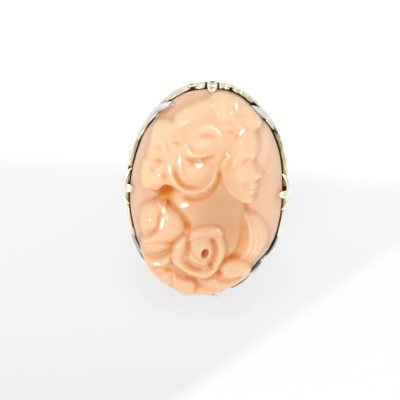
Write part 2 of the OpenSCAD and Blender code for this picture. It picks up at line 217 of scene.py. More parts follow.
class Relief:
    # heights of the carving over the domed ground, on a grid of points in millimetres, with how polished
    # each place is and how much painted shade, or painted light with a negative amount, its colour takes
    def __init__(self, step=0.05, reachX=9.6, reachY=13.1):
        self.step = step
        self.xs = np.arange(-reachX, reachX + step, step)
        self.ys = np.arange(-reachY, reachY + step, step)
        self.x, self.y = np.meshgrid(self.xs, self.ys)
        self.h = np.zeros(self.x.shape)
        self.shine = np.zeros(self.x.shape)
        self.paintedShading = np.zeros(self.x.shape)

    def window(self, path, reach):
        # the part of the grid that a path can touch
        low, high = path[:, :2].min(0) - reach, path[:, :2].max(0) + reach
        i0, i1 = np.searchsorted(self.xs, [low[0], high[0]])
        j0, j1 = np.searchsorted(self.ys, [low[1], high[1]])
        return (slice(max(j0 - 1, 0), j1 + 1), slice(max(i0 - 1, 0), i1 + 1))

    def turned(self, x0, y0, turn):
        # the grid seen from one place, along and across a line turned by so many degrees
        c, s = math.cos(math.radians(turn)), math.sin(math.radians(turn))
        x, y = self.x - x0, self.y - y0
        return x * c + y * s, y * c - x * s

    def mass(self, points, height, edge, crown=0.0, blend=0.25, slope=(0, 0), base=0.0):
        # a raised shape inside a closed curve: height, width of its round edge, dome
        path = smoothPath(points, True)
        part = self.window(path, 0.1)
        x, y = self.x[part], self.y[part]
        depth = insideDepth(x, y, path)
        middle = path[:-1, :2].mean(0)
        top = height + slope[0] * (x - middle[0]) + slope[1] * (y - middle[1])
        lift = crown * smoothStep(depth / max(depth.max(), 1e-6))
        level = np.where(depth > 0, base + (top + lift - base) * roundEdge(depth, edge), 0)
        self.h[part] = np.where(depth > 0, smoothMax(self.h[part], level, blend), self.h[part])

    def ridge(self, points, width, rise, ends=0.25):
        # adds a round-backed ridge, or a groove with a negative rise; ends is the share that tapers
        path = smoothPath(points, False)
        part = self.window(path, width + 0.05)
        away, along, _ = nearPath(self.x[part], self.y[part], path)
        taper = smoothStep(np.minimum(along, 1 - along) / ends) * 0.999 + 0.001
        q = np.clip(away / (width * (0.55 + 0.45 * taper)), 0, 1)
        self.h[part] += rise * taper * (1 - q * q) ** 1.5

    def dimple(self, x0, y0, halfX, halfY, rise, turn=0.0, power=1.5):
        # adds a soft swelling, or a hollow with a negative rise
        u, v = self.turned(x0, y0, turn)
        q = np.clip(np.hypot(u / halfX, v / halfY), 0, 1)
        self.h += rise * (1 - q * q) ** power

    def flat(self, x0, y0, halfX, halfY, turn=0.0, polish=1.0, lean=(-0.15, 0.1)):
        # a small polished flat that leans the way given
        ground = domeHeight(np.hypot(self.x, self.y) / outlineRadius(np.arctan2(self.y, self.x)))
        j, i = np.unravel_index(np.argmin(np.hypot(self.x - x0, self.y - y0)), self.x.shape)
        u, v = self.turned(x0, y0, turn)
        plane = ground[j, i] + self.h[j, i] - lean[0] * (self.x - x0) - lean[1] * (self.y - y0) - ground
        away = np.hypot(u / halfX, v / halfY)
        self.h += (plane - self.h) * smoothStep((1 - away) / 0.55)
        self.shine = np.maximum(self.shine, polish * smoothStep((1.3 - away) / 0.4))

    def paintShading(self, x0, y0, halfX, halfY, turn, amount):
        # painted shade in one spot, a deeper colour, or painted light, a paler one with a negative amount
        u, v = self.turned(x0, y0, turn)
        q = np.clip(np.hypot(u / halfX, v / halfY), 0, 1)
        self.paintedShading += amount * (1 - q**2) ** 1.5

    def wrap(self, outline, edge, crest, foot, lip):
        # a petal that wraps round from its free edge out to the outline it shares with what it covers
        around, free = smoothPath(outline, True), smoothPath(edge)
        part = self.window(around, 0.1)
        x, y = self.x[part], self.y[part]
        depth = insideDepth(x, y, around)
        away, _, side = nearPath(x, y, free)
        t = away / np.maximum(away + depth, 1e-6)
        groove = 0.25 * np.exp(-((away / 0.16) ** 2))
        body = foot + (crest - foot) * np.sqrt(np.maximum(1 - t * t, 0)) - groove
        inside = crest * np.sqrt(np.maximum(1 - (away / lip) ** 2, 0)) - groove
        level = np.where(side < 0, body, inside)
        self.h[part] = np.where(depth > 0, smoothMax(self.h[part], level, 0.1), self.h[part])

    def soften(self, radius):
        self.h = blurred(self.h, radius / self.step)


finish = {
    # small polished flats on the crests: place, half length and width, turn, polish
    "flats": (
        (-0.99, 4.23, 0.72, 0.56, 12, 0.9), (-1.02, 4.69, 0.3, 0.28, 0, 0.7),
        (-2.36, -0.88, 0.8, 0.46, 8, 0.22), (-2.42, -0.88, 0.3, 0.2, 8, 0.3),
        (-4.81, -1.57, 0.4, 1.0, 0, 0.5), (-4.9, -3.07, 0.46, 1.5, -12, 0.65),
        (-5.3, -8.43, 0.7, 0.28, 8, 0.6), (0.54, -8.29, 0.3, 0.2, 0, 0.45),
        (-1.42, -4.92, 0.26, 0.26, 0, 0.35), (-2.82, -5.63, 0.2, 0.7, -32, 0.3),
        (3.75, 8.26, 0.38, 0.8, -22, 0.75), (3.46, 7.38, 0.5, 0.26, 25, 0.5),
        (2.97, 11.19, 0.36, 0.8, 8, 0.45), (1.06, 8.21, 0.26, 0.75, 38, 0.6),
        (0.37, 8.65, 0.5, 0.22, -15, 0.5), (-3.3, 4.49, 0.3, 1.1, 4, 0.8),
        (-2.39, 5.75, 0.2, 0.7, 30, 0.35), (-6.41, -2.8, 0.3, 0.32, 0, 0.45),
        (-5.65, 2.57, 0.28, 0.3, 0, 0.5), (-4.35, 3.24, 0.25, 0.8, 8, 0.45),
        (2.46, 10.46, 0.3, 0.36, 0, 0.3), (0.84, 10.2, 0.2, 0.42, 0, 0.35),
        (0.15, 11.17, 0.32, 0.3, 0, 0.35), (-1.33, 9.11, 0.26, 0.26, 0, 0.3),
        (2.16, 5.58, 0.5, 0.2, -38, 0.35), (1.69, -3.53, 0.6, 0.22, -28, 0.5)),
    # painted glow and shade: where the coral is coloured a deeper orange as if light sank in, with painted
    # shadows by the prongs and claws, or paler with a negative amount: the same, and how much deeper
    "paintedLightAndShade": (
        (-4.51, 0.22, 1.0, 1.1, 0, 0.8), (-4.45, -0.56, 1.3, 0.8, 10, 0.35),
        (-1.87, -3.58, 0.5, 0.8, 25, 0.4), (-2.99, -2.02, 0.5, 1.3, 50, -0.4),
        (-3.88, -1.23, 0.4, 0.7, 60, -0.25), (-2.31, 1.62, 1.9, 0.6, -20, 0.1),
        (1.44, 3.04, 0.4, 0.9, 5, 0.25), (0.57, 1.01, 0.35, 1.5, -48, 0.25),
        (-1.94, 4.54, 0.75, 0.9, -30, 0.3), (0.39, 5.21, 1.1, 0.4, 15, 0.2), (0, 7.8, 0.95, 0.5, 5, 0.06),
        (-3.61, 6.48, 0.6, 0.4, 0, 0.25), (-6.63, 3.26, 0.75, 0.65, 0, 0.45),
        (-6.37, 0.82, 1.0, 0.55, 0, 0.42), (-5.03, 2.4, 0.35, 0.8, 0, 0.2),
        (1.14, -4.95, 0.42, 0.4, -35, 0.25), (1.02, -7.97, 0.4, 0.55, 20, 0.5),
        (-1.68, -6.25, 0.25, 1.2, 0, 0.15), (-1.19, -8.24, 0.8, 0.4, -35, 0.2),
        (3.65, -7.28, 0.9, 0.45, -10, 0.15), (2.17, -9.14, 0.5, 0.5, 0, 0.25),
        (-0.35, -10.82, 0.32, 1.1, -10, 0.3), (-4.23, -9.27, 1.0, 0.5, -15, 0.3),
        (-4.27, -6.3, 0.65, 0.5, 20, 0.5), (-6.32, -4.89, 0.8, 0.4, 15, 0.2),
        (2.52, 8.3, 0.55, 0.35, 0, 0.1), (-0.06, -6.34, 0.22, 0.6, 14, 1.6),
        (-8.41, -0.27, 0.5, 0.9, 0, 0.2), (8.31, 0.06, 0.6, 1.3, -8, 0.12),
        (6.85, -1.29, 1.6, 1.2, 0, 0.07), (2.64, 4.38, 1.7, 2.0, 0, 0.42),
        (4.43, 2.17, 1.4, 1.2, 0, 0.42), (-6.14, 4.01, 1.4, 1.7, 0, 0.3),
        (8.32, -0.06, 1.6, 3.6, -6, 0.13), (8.67, 0.91, 0.5, 2.2, -6, 0.1),
        (1.5, -7.48, 0.9, 0.9, 0, 0.1), (3.43, -9.16, 1.6, 0.7, 10, 0.28),
        (-3.05, -3.69, 1.4, 0.8, 30, 0.24), (-6.33, 1.21, 1.0, 0.9, 0, 0.12),
        (-2.55, 1.65, 1.2, 0.8, 0, 0.14), (4.63, -3.65, 0.8, 1.4, 0, 0.14),
        (4.33, 5.83, 0.8, 0.9, 0, 0.1), (6.21, 5.52, 1.3, 4.2, -10, -0.45),
        (4.15, 10.67, 1.4, 1.0, 40, -0.3), (-4.8, 9.9, 1.0, 0.5, 30, 0.35),
        (-6.35, 8.9, 0.9, 0.5, 40, 0.3), (1.48, -6.19, 0.35, 1.3, 0, -0.22),
        (-0.54, -8.24, 1.0, 0.32, -12, -0.22), (3.94, -10.01, 1.3, 0.3, 12, -0.2),
        (-5.68, 9.28, 1.5, 0.26, 34, 0.9), (5.69, 10.13, 1.2, 0.16, -40, 0.7)),
}


def carve():
    carving = Relief()
    # leaves that fill the foot of the oval, out to its edge
    carving.mass([
        (-7.5, -5.4), (-6.9, -5.6), (-5.0, -7.0), (-3.0, -8.2), (0.0, -9.0), (2.4, -8.2), (3.6, -8.8),
        (4.6, -9.6), (5.5, -10.4), (4.2, -11.8), (2.2, -12.8), (0.0, -13.0), (-2.2, -12.8), (-4.3, -11.7),
        (-6.1, -10.1), (-7.2, -8.3), (-7.5, -6.9)], 1.35, 0.6, 0.3)
    carving.mass([
        (-7.09, -6.12), (-5.65, -6.32), (-4.13, -5.91), (-3.07, -5.69), (-3.1, -7.2), (-3.24, -8.86),
        (-3.39, -10.41), (-4.84, -10.06), (-6.08, -9.19), (-6.88, -7.76)], 1.5, 0.8, 0.1)
    # neck, shoulder and bust
    carving.mass([
        (-5.98, -0.97), (-4.18, 0.65), (-1.5, 1.67), (1.59, 3.29), (3.36, 2.67), (4.52, 0.89),
        (4.64, -0.39), (4.77, -1.61), (4.63, -2.93), (4.63, -4.29), (4.35, -5.85), (3.69, -7.11),
        (2.39, -8.07), (-1.17, -8.4), (-4.12, -7.37), (-6.44, -4.87),
        (-7, -2.81)], 1.35, 0.9, 0.25, slope=(-0.05, -0.01))
    drapery(carving)
    # head: the hair's mass
    carving.mass([
        (-6.3, 8.57), (-5.6, 8.9), (-5.02, 9.02), (-4.54, 9.01), (-4.22, 9.58), (-3.44, 10.41),
        (-2.52, 10.93), (-1.36, 11.46), (-0.43, 11.84), (0.13, 12.3), (0.94, 12.64), (1.89, 12.64),
        (2.86, 12.3), (3.71, 11.9), (4.59, 11.21), (5.22, 10.58), (5.72, 10.12), (6.12, 9.41),
        (6.09, 8.81), (5.49, 8.1), (4.84, 7.14), (4.1, 5.56), (2.89, 3.94), (1.78, 2.67), (1.26, 1.54),
        (0.25, 0.51), (-0.91, 0), (-2.09, -0.09), (-3.3, 0.25), (-4.28, 0.77), (-5, 0.95), (-5.96, 1.1),
        (-6.72, 1.75), (-7.25, 2.66), (-7.43, 3.73), (-7.28, 5.07), (-7.09, 5.93), (-6.97, 6.9),
        (-6.73, 7.87)], 1.6, 0.95, 0.75)
    face(carving)
    hair(carving)
    # shoulder under the hair, and the hollow between knot, roll and shoulder
    carving.dimple(-4.44, 0.18, 1.5, 1.2, -0.5, 20)
    carving.dimple(-4.32, -0.82, 1.2, 0.6, -0.45, -20)
    carving.dimple(-2.51, -0.98, 1.1, 0.75, 0.35, 30)
    carving.ridge([(-3.5, -0.29), (-2.78, -0.5), (-2.06, -0.57), (-1.47, -0.62)], 0.25, 0.15)
    carving.ridge([
        (4.65, -1.81), (4.68, -2.81), (4.8, -3.8), (4.76, -4.8), (4.53, -5.93),
        (4.23, -6.95)], 0.42, -0.12, 0.3)
    carving.dimple(4.96, -3.22, 0.4, 0.9, -0.12, 0)
    carving.dimple(3.89, -7.21, 1.1, 0.5, -0.4, 25)
    carving.soften(0.07)
    bud(carving)
    leaves(carving)
    rose(carving)
    carving.soften(0.05)
    for flat in finish["flats"]:
        carving.flat(*flat)
    # painted shade and painted light on the coral
    for spot in finish["paintedLightAndShade"]:
        carving.paintShading(*spot)
    return carving


def drapery(carving):
    # the cloth at the breast and its folds
    carving.mass([
        (4.48, -1.35), (5.37, -1.56), (6.35, -1.96), (7.22, -2.85), (7.79, -4.21), (7.52, -5.86),
        (6.66, -7.31), (5.65, -8.47), (3.37, -8.65), (3.1, -7.29), (4.11, -5.93), (4.33, -4.18),
        (4.26, -2.52)], 0.95, 0.9, 0.15, blend=0.4)
    carving.ridge([
        (4.98, -2.29), (5.38, -3.15), (5.62, -4.14), (5.65, -5.14), (5.44, -6.15), (5.02, -7.04),
        (4.52, -7.69)], 0.5, 0.75, 0.3)
    carving.ridge([
        (5.53, -2.58), (6.05, -3.44), (6.32, -4.43), (6.32, -5.44), (6.05, -6.45),
        (5.56, -7.34)], 0.4, 0.55, 0.3)
    carving.ridge([
        (6, -2.62), (6.65, -3.61), (6.94, -4.61), (6.94, -5.61), (6.64, -6.63),
        (6.05, -7.65)], 0.38, 0.42, 0.3)
    carving.ridge([
        (6.6, -2.91), (7.25, -3.91), (7.52, -4.91), (7.46, -5.93), (7.07, -6.94)], 0.34, 0.28, 0.3)


def face(carving):
    carving.mass([
        (4.06, 8.74), (5.04, 8.53), (5.64, 7.73), (5.84, 6.75), (5.86, 5.67), (5.77, 5.18), (5.49, 4.69),
        (5.71, 4.1), (6.14, 3.51), (6.65, 2.93), (6.62, 2.67), (6.12, 2.43), (5.92, 2.24), (6.04, 1.94),
        (6.15, 1.7), (5.91, 1.38), (6.04, 1.11), (5.95, 0.87), (5.72, 0.57), (5.89, 0.23), (5.88, -0.16),
        (5.53, -0.55), (4.88, -0.69), (3.9, -0.43), (2.82, 0.23), (1.95, 1.22), (1.2, 3.29), (1.63, 5.73),
        (2.66, 7.78)], 1.7, 0.6, 0.55)
    carving.ridge([(3.9, 5.54), (4.6, 5.78), (5.19, 5.67), (5.68, 5.27)], 0.45, 0.2)
    carving.dimple(4.73, 4.7, 0.9, 0.55, -0.34)
    carving.dimple(4.76, 4.62, 0.5, 0.34, 0.3)
    carving.ridge([(4.26, 4.7), (4.73, 4.94), (5.17, 4.71)], 0.13, -0.1)
    carving.ridge([(4.33, 4.49), (4.77, 4.34), (5.19, 4.49)], 0.11, -0.08)
    carving.dimple(5.95, 2.72, 0.36, 0.34, 0.24)
    carving.ridge([(5.68, 3.16), (5.55, 2.72), (5.72, 2.33)], 0.17, -0.14)
    carving.dimple(4.06, 3.14, 1.4, 1.3, 0.28)
    carving.ridge([(4.87, 1.4), (5.41, 1.32), (5.95, 1.37)], 0.14, -0.22)
    carving.dimple(5.54, 1.67, 0.5, 0.24, 0.15)
    carving.dimple(5.51, 1.06, 0.46, 0.24, 0.17)
    carving.dimple(4.82, 1.39, 0.22, 0.22, -0.1)
    carving.ridge([(5.1, 0.64), (5.6, 0.61)], 0.2, -0.12)
    carving.dimple(5.39, -0.01, 0.6, 0.5, 0.2)
    carving.dimple(3.03, 0.66, 1.3, 0.7, 0.15, -25)


def hair(carving):
    # knot at the back
    carving.mass([
        (-7.68, 3.93), (-7.86, 3), (-7.97, 1.89), (-7.86, 0.93), (-7.47, 0.37), (-6.62, 0.22),
        (-5.67, 0.26), (-4.99, 0.76), (-4.5, 1.54), (-4.45, 2.64), (-4.69, 3.71), (-5.32, 4.38),
        (-6.17, 4.59), (-7, 4.5)], 1.75, 1.1, 0.3, blend=0.5)
    carving.dimple(-6.55, 3.01, 0.62, 0.45, -0.24, 15)
    carving.dimple(-6.08, 1, 0.95, 0.4, -0.22, -5)
    carving.dimple(-5.79, 4.13, 0.6, 0.4, -0.24, 0)
    carving.dimple(-5.65, 2.49, 0.45, 0.4, 0.16, 0)
    carving.ridge([(-7.49, 3.52), (-7.67, 2.6), (-7.67, 1.66), (-7.44, 0.57)], 0.26, 0.14)
    carving.ridge([(-5.12, 2.95), (-4.98, 2.15), (-4.86, 1.36)], 0.4, -0.2)
    # lobes above it
    carving.dimple(-6.33, 7.1, 1.1, 1.4, 0.22, 10)
    carving.ridge([(-5.85, 7.19), (-5.45, 6.56), (-5.17, 5.88), (-4.92, 5.1)], 0.26, 0.26)
    carving.ridge([(-5.25, 6.67), (-4.89, 5.92), (-4.6, 5.15)], 0.3, -0.15)
    carving.dimple(-6.13, 5.76, 0.8, 0.5, -0.16, -20)
    carving.dimple(-6.45, 5.18, 0.7, 0.4, 0.12, -20)
    carving.dimple(-3.85, 6.49, 0.6, 0.34, -0.26, -10)
    carving.dimple(-3.3, 6.33, 0.34, 0.28, 0.14, -10)
    carving.dimple(-4.5, 8.78, 0.22, 0.2, -0.2)
    # crown
    carving.ridge([(-4.62, 8.32), (-3.14, 9.44), (-1.52, 10.23), (-0.35, 10.48)], 0.8, 0.06)
    carving.ridge([(-4.34, 7.68), (-2.85, 8.59), (-1.33, 9.11), (-0.38, 9.14)], 0.5, -0.05)
    # inner curl
    carving.ridge([
        (-1.51, 8.13), (-1.17, 8.41), (-0.59, 8.7), (0, 8.76), (0.61, 8.6), (1.04, 8.28), (1.35, 7.81),
        (1.49, 7.25)], 0.36, 0.32, 0.3)
    carving.ridge([(0.02, 8.52), (0.56, 8.4), (0.91, 8.11), (1.14, 7.7)], 0.13, -0.08, 0.3)
    carving.ridge([
        (-1.25, 7.87), (-0.76, 7.57), (-0.17, 7.69), (0.43, 7.61), (1.16, 7.33)], 0.42, -0.28, 0.3)
    carving.ridge([
        (-2.74, 6.95), (-2.68, 6.41), (-2.43, 5.9), (-1.99, 5.49), (-1.44, 5.29), (-0.85, 5.29),
        (-0.27, 5.47), (0.18, 5.8)], 0.36, 0.34, 0.3)
    carving.ridge([(-2.1, 6.85), (-2.07, 6.3), (-1.78, 5.88), (-1.24, 5.78), (-0.66, 5.92)], 0.28, -0.14)
    carving.dimple(-0.47, 6.74, 1.2, 0.8, 0.16)
    # middle roll
    carving.ridge([
        (-2.89, 5.55), (-2.5, 4.89), (-1.77, 4.62), (-0.95, 4.81), (-0.13, 4.93), (0.57, 5.2),
        (1.26, 5.62)], 0.4, -0.32, 0.25)
    carving.dimple(-1.68, 4.2, 0.34, 0.45, -0.26)
    carving.dimple(-1.03, 3.35, 2.0, 1.45, 0.5, 10)
    carving.dimple(-0.96, 4.21, 0.6, 0.4, 0.2, 15)
    carving.ridge([
        (-3.08, 5.76), (-3.22, 5.09), (-3.29, 4.38), (-3.21, 3.64), (-2.94, 2.81), (-2.46, 2.18),
        (-1.9, 1.84)], 0.3, 0.32, 0.3)
    # long outer roll, from the hollow inside it outwards
    carving.ridge([
        (-3.79, 4.61), (-3.88, 3.69), (-3.74, 2.75), (-3.34, 1.94), (-2.78, 1.39), (-2.05, 1.21),
        (-1.34, 1.34), (-0.76, 1.57), (-0.25, 1.96)], 0.42, -0.46, 0.4)
    carving.ridge([
        (-4.4, 4.88), (-4.48, 3.95), (-4.34, 3.01), (-3.93, 2.01), (-3.29, 1.25), (-2.43, 0.79),
        (-1.48, 0.68), (-0.54, 0.92), (0.26, 1.5), (0.74, 2.27), (0.98, 3.05), (0.96, 3.82),
        (0.79, 4.49)], 0.44, 0.42, 0.2)
    carving.ridge([
        (-3.31, 0.33), (-2.57, -0.03), (-1.73, -0.25), (-0.79, -0.14), (0.08, 0.28), (0.73, 0.87),
        (1.17, 1.56), (1.46, 2.37), (1.48, 3.34)], 0.32, -0.42, 0.25)
    carving.dimple(1.46, 3.04, 0.3, 0.6, -0.22, 5)
    # wave over the brow
    carving.ridge([
        (2.72, 8.83), (3.31, 8.96), (3.87, 8.67), (4.07, 8.17), (3.91, 7.56), (3.43, 7.06),
        (2.72, 6.88)], 0.36, 0.38, 0.3)
    carving.dimple(2.56, 8.17, 0.65, 0.3, -0.26, -5)
    carving.dimple(3.27, 7.64, 0.5, 0.35, -0.14, -10)
    # locks at the temple and over the forehead
    carving.dimple(2.22, 9.28, 0.8, 0.5, -0.12, 0)
    carving.dimple(3.88, 10.08, 0.8, 0.36, -0.16, 10)
    carving.ridge([(3.87, 9.47), (4.68, 9.65), (5.46, 9.41)], 0.45, 0.12)
    carving.ridge([(3.66, 10.84), (4.5, 10.63), (5.18, 10.07)], 0.5, 0.12)
    carving.ridge([(5.42, 9.87), (5.8, 9.42), (5.9, 8.93), (5.75, 8.21)], 0.24, 0.14)
    # flower in the hair
    carving.dimple(1.77, 10.91, 1.65, 1.5, 0.38, 0, 1.1)
    for angle in (80, 152, 224, 296, 8):
        a = math.radians(angle)
        carving.dimple(2.35 + 0.95 * math.cos(a), 10.6 + 0.85 * math.sin(a), 0.62, 0.5, 0.1, angle)
    carving.ridge([(2.35, 11.89), (2.78, 11.69), (3.05, 11.2), (3.04, 10.62)], 0.28, 0.28, 0.3)
    carving.ridge([(2.82, 10.65), (2.82, 10.02)], 0.2, -0.12, 0.3)
    carving.ridge([(0.98, 10.72), (0.79, 10.25), (0.97, 9.76)], 0.22, 0.17, 0.3)
    carving.ridge([(1.31, 10.65), (1.15, 10.2), (1.36, 9.82)], 0.16, -0.12, 0.3)
    carving.ridge([(1.63, 10.52), (1.48, 10.23), (1.65, 9.95)], 0.16, 0.1, 0.3)
    carving.dimple(2.46, 10.52, 0.32, 0.36, 0.14)
    carving.dimple(0.17, 11.17, 0.36, 0.3, 0.14)
    carving.dimple(-1.33, 9.11, 0.28, 0.28, 0.1)


def bud(carving):
    # the shoulder falls away beside it
    carving.ridge([
        (-5.86, -0.81), (-4.77, -1.07), (-3.67, -1.62), (-2.79, -2.37), (-2.05, -3.31),
        (-1.68, -4.21)], 0.7, -0.5, 0.15)
    # lower petal
    carving.mass([
        (-7.4, -5.52), (-6.78, -5.18), (-5.96, -4.96), (-5.13, -4.87), (-4.4, -5.11), (-3.72, -5.55),
        (-3.51, -6.09), (-3.9, -6.63), (-4.76, -7.07), (-5.7, -7.3), (-6.55, -7.15),
        (-7.08, -6.55)], 2.3, 1.1, 0.3, blend=0.2, base=1.2)
    outline = [
        (-7.09, -6.01), (-7.38, -5.16), (-7.7, -4.45), (-7.82, -3.21), (-7.73, -2.2), (-7.29, -1.47),
        (-6.55, -0.98), (-5.72, -0.86), (-4.88, -1.04), (-4.02, -1.48), (-3.28, -1.99), (-2.7, -2.68),
        (-2.29, -3.39), (-2.23, -4.07), (-2.49, -4.66), (-3.09, -5.21), (-3.78, -5.62), (-4.61, -5.7),
        (-5.44, -5.69), (-6.26, -5.9)]
    carving.mass(outline, 2.15, 0.9, 0.15, blend=0.15)
    # inner petals
    carving.dimple(-6.48, -3, 1.2, 2.0, 0.45, 0, 1.0)
    # outer petal, from its free edge round to the outline
    carving.wrap([
        (-7.09, -5.98), (-7.38, -5.13), (-7.7, -4.42), (-7.82, -3.19), (-7.73, -2.18), (-7.29, -1.44),
        (-6.55, -0.96), (-5.72, -0.83), (-4.88, -1.02), (-4.02, -1.46), (-3.28, -1.96), (-2.7, -2.65),
        (-2.29, -3.37), (-2.23, -4.05), (-2.49, -4.63), (-3.03, -5.17), (-3.66, -5.61), (-4.48, -5.76),
        (-5.43, -5.86), (-6.26, -5.95)], [(-7.81, -5.77), (-6.99, -5.47), (-6.18, -5.02), (-5.41, -4.4),
        (-4.95, -3.66), (-4.79, -2.78), (-4.89, -1.86), (-5.16, -1.14), (-5.54, -0.69),
        (-5.86, -0.29)], 3.05, 1.45, 0.3)
    carving.ridge([
        (-4.91, -1.18), (-4.71, -1.91), (-4.7, -2.75), (-4.84, -3.48), (-5.16, -4.13)], 0.3, 0.2, 0.3)
    carving.ridge([
        (-5.42, -1.23), (-5.28, -1.91), (-5.26, -2.65), (-5.38, -3.39), (-5.72, -4.13), (-6.28, -4.74),
        (-6.9, -5.13)], 0.32, -0.14, 0.3)
    carving.dimple(-6.29, -4.43, 0.9, 0.6, -0.2, 30)
    carving.dimple(-6.02, -1.82, 0.4, 0.8, -0.1, 5)
    carving.dimple(-7.1, -2.68, 0.26, 0.28, -0.14)
    carving.dimple(-6.4, -2.85, 0.32, 0.3, 0.12)
    carving.ridge([(-5.18, -4.86), (-4.63, -5.08), (-4.08, -5.62)], 0.22, 0.08, 0.3)


def leaves(carving):
    # leaf under the bud
    carving.mass([
        (-6.83, -7.53), (-6.04, -7.68), (-5.22, -7.56), (-4.4, -7.18), (-3.72, -6.67), (-3.5, -7.41),
        (-3.57, -8.17), (-4.14, -8.74), (-5.13, -9.04), (-6.03, -8.9),
        (-6.6, -8.28)], 2.15, 0.75, 0.1, blend=0.1, base=1.3)
    carving.ridge([(-6.18, -8.47), (-5.51, -8.66), (-4.68, -8.52), (-4, -8.09)], 0.3, 0.16)
    carving.dimple(-3.88, -9.2, 0.6, 0.4, -0.35, -10)
    # plain leaf below
    carving.mass([
        (-6.46, -8.82), (-5.25, -9.11), (-4.29, -9.26), (-3.51, -9.31), (-3.16, -10.24), (-3.1, -11.4),
        (-3.27, -12.55), (-4.49, -12.01), (-5.74, -10.98),
        (-6.51, -9.93)], 1.85, 0.8, 0.1, blend=0.15, base=1.2)
    carving.dimple(-4.98, -9.74, 0.6, 0.4, -0.15, 0)
    # curled leaf at the foot
    carving.mass([
        (-3.4, -9.18), (-2.71, -9.69), (-1.99, -9.95), (-1.27, -10.02), (-0.74, -10.37), (-0.52, -11.12),
        (-0.67, -12.31), (-1.6, -12.63), (-2.31, -12.62), (-2.99, -12.23), (-3.3, -10.97),
        (-3.41, -10.07)], 2.25, 0.7, 0.1, blend=0.1, base=1.3)
    carving.ridge([(-3.17, -9.47), (-3.12, -10.43), (-2.97, -11.46)], 0.32, 0.22)
    carving.ridge([(-1.2, -10.27), (-0.82, -10.76), (-0.84, -11.41)], 0.28, 0.2)
    carving.ridge([
        (-2.23, -10.08), (-1.39, -10.07), (-0.67, -10.31), (-0.32, -10.93),
        (-0.47, -11.65)], 0.26, -0.45, 0.2)
    # leaves at the lower right
    carving.mass([
        (2.41, -7.88), (3.21, -7.51), (4.28, -7.47), (5.24, -7.79), (5.93, -8.42), (5.62, -9.13),
        (4.64, -9.65), (3.59, -9.98), (2.64, -9.82), (2.12, -9.1),
        (2.14, -8.4)], 2.2, 0.9, 0.1, blend=0.15, base=1.3)
    carving.mass([
        (1.14, -9.72), (1.79, -9.66), (2.71, -10.09), (3.72, -10.12), (4.64, -9.71), (5.43, -9.06),
        (6.03, -9.25), (5.26, -10.29), (4.13, -11.16), (2.84, -11.45), (1.65, -11.37), (0.8, -11.03),
        (0.47, -10.34)], 1.95, 0.6, 0.1, blend=0.12, base=1.2)
    carving.dimple(1.81, -9.92, 0.3, 0.26, 0.15)
    carving.mass([
        (-0.23, -10.74), (0.57, -11.14), (1.65, -11.44), (2.96, -11.47), (2.64, -12.08), (1.12, -12.54),
        (-0.06, -12.62), (-0.36, -11.46)], 1.75, 0.6, 0.05, blend=0.12, base=1.1)
    carving.dimple(2.11, -9.09, 0.6, 0.6, -0.4, 0)
    carving.dimple(0.02, -10.9, 0.45, 0.45, -0.35, 0)
    carving.ridge([(2.69, -8.63), (3.63, -8.47), (4.7, -8.69)], 0.3, -0.08)


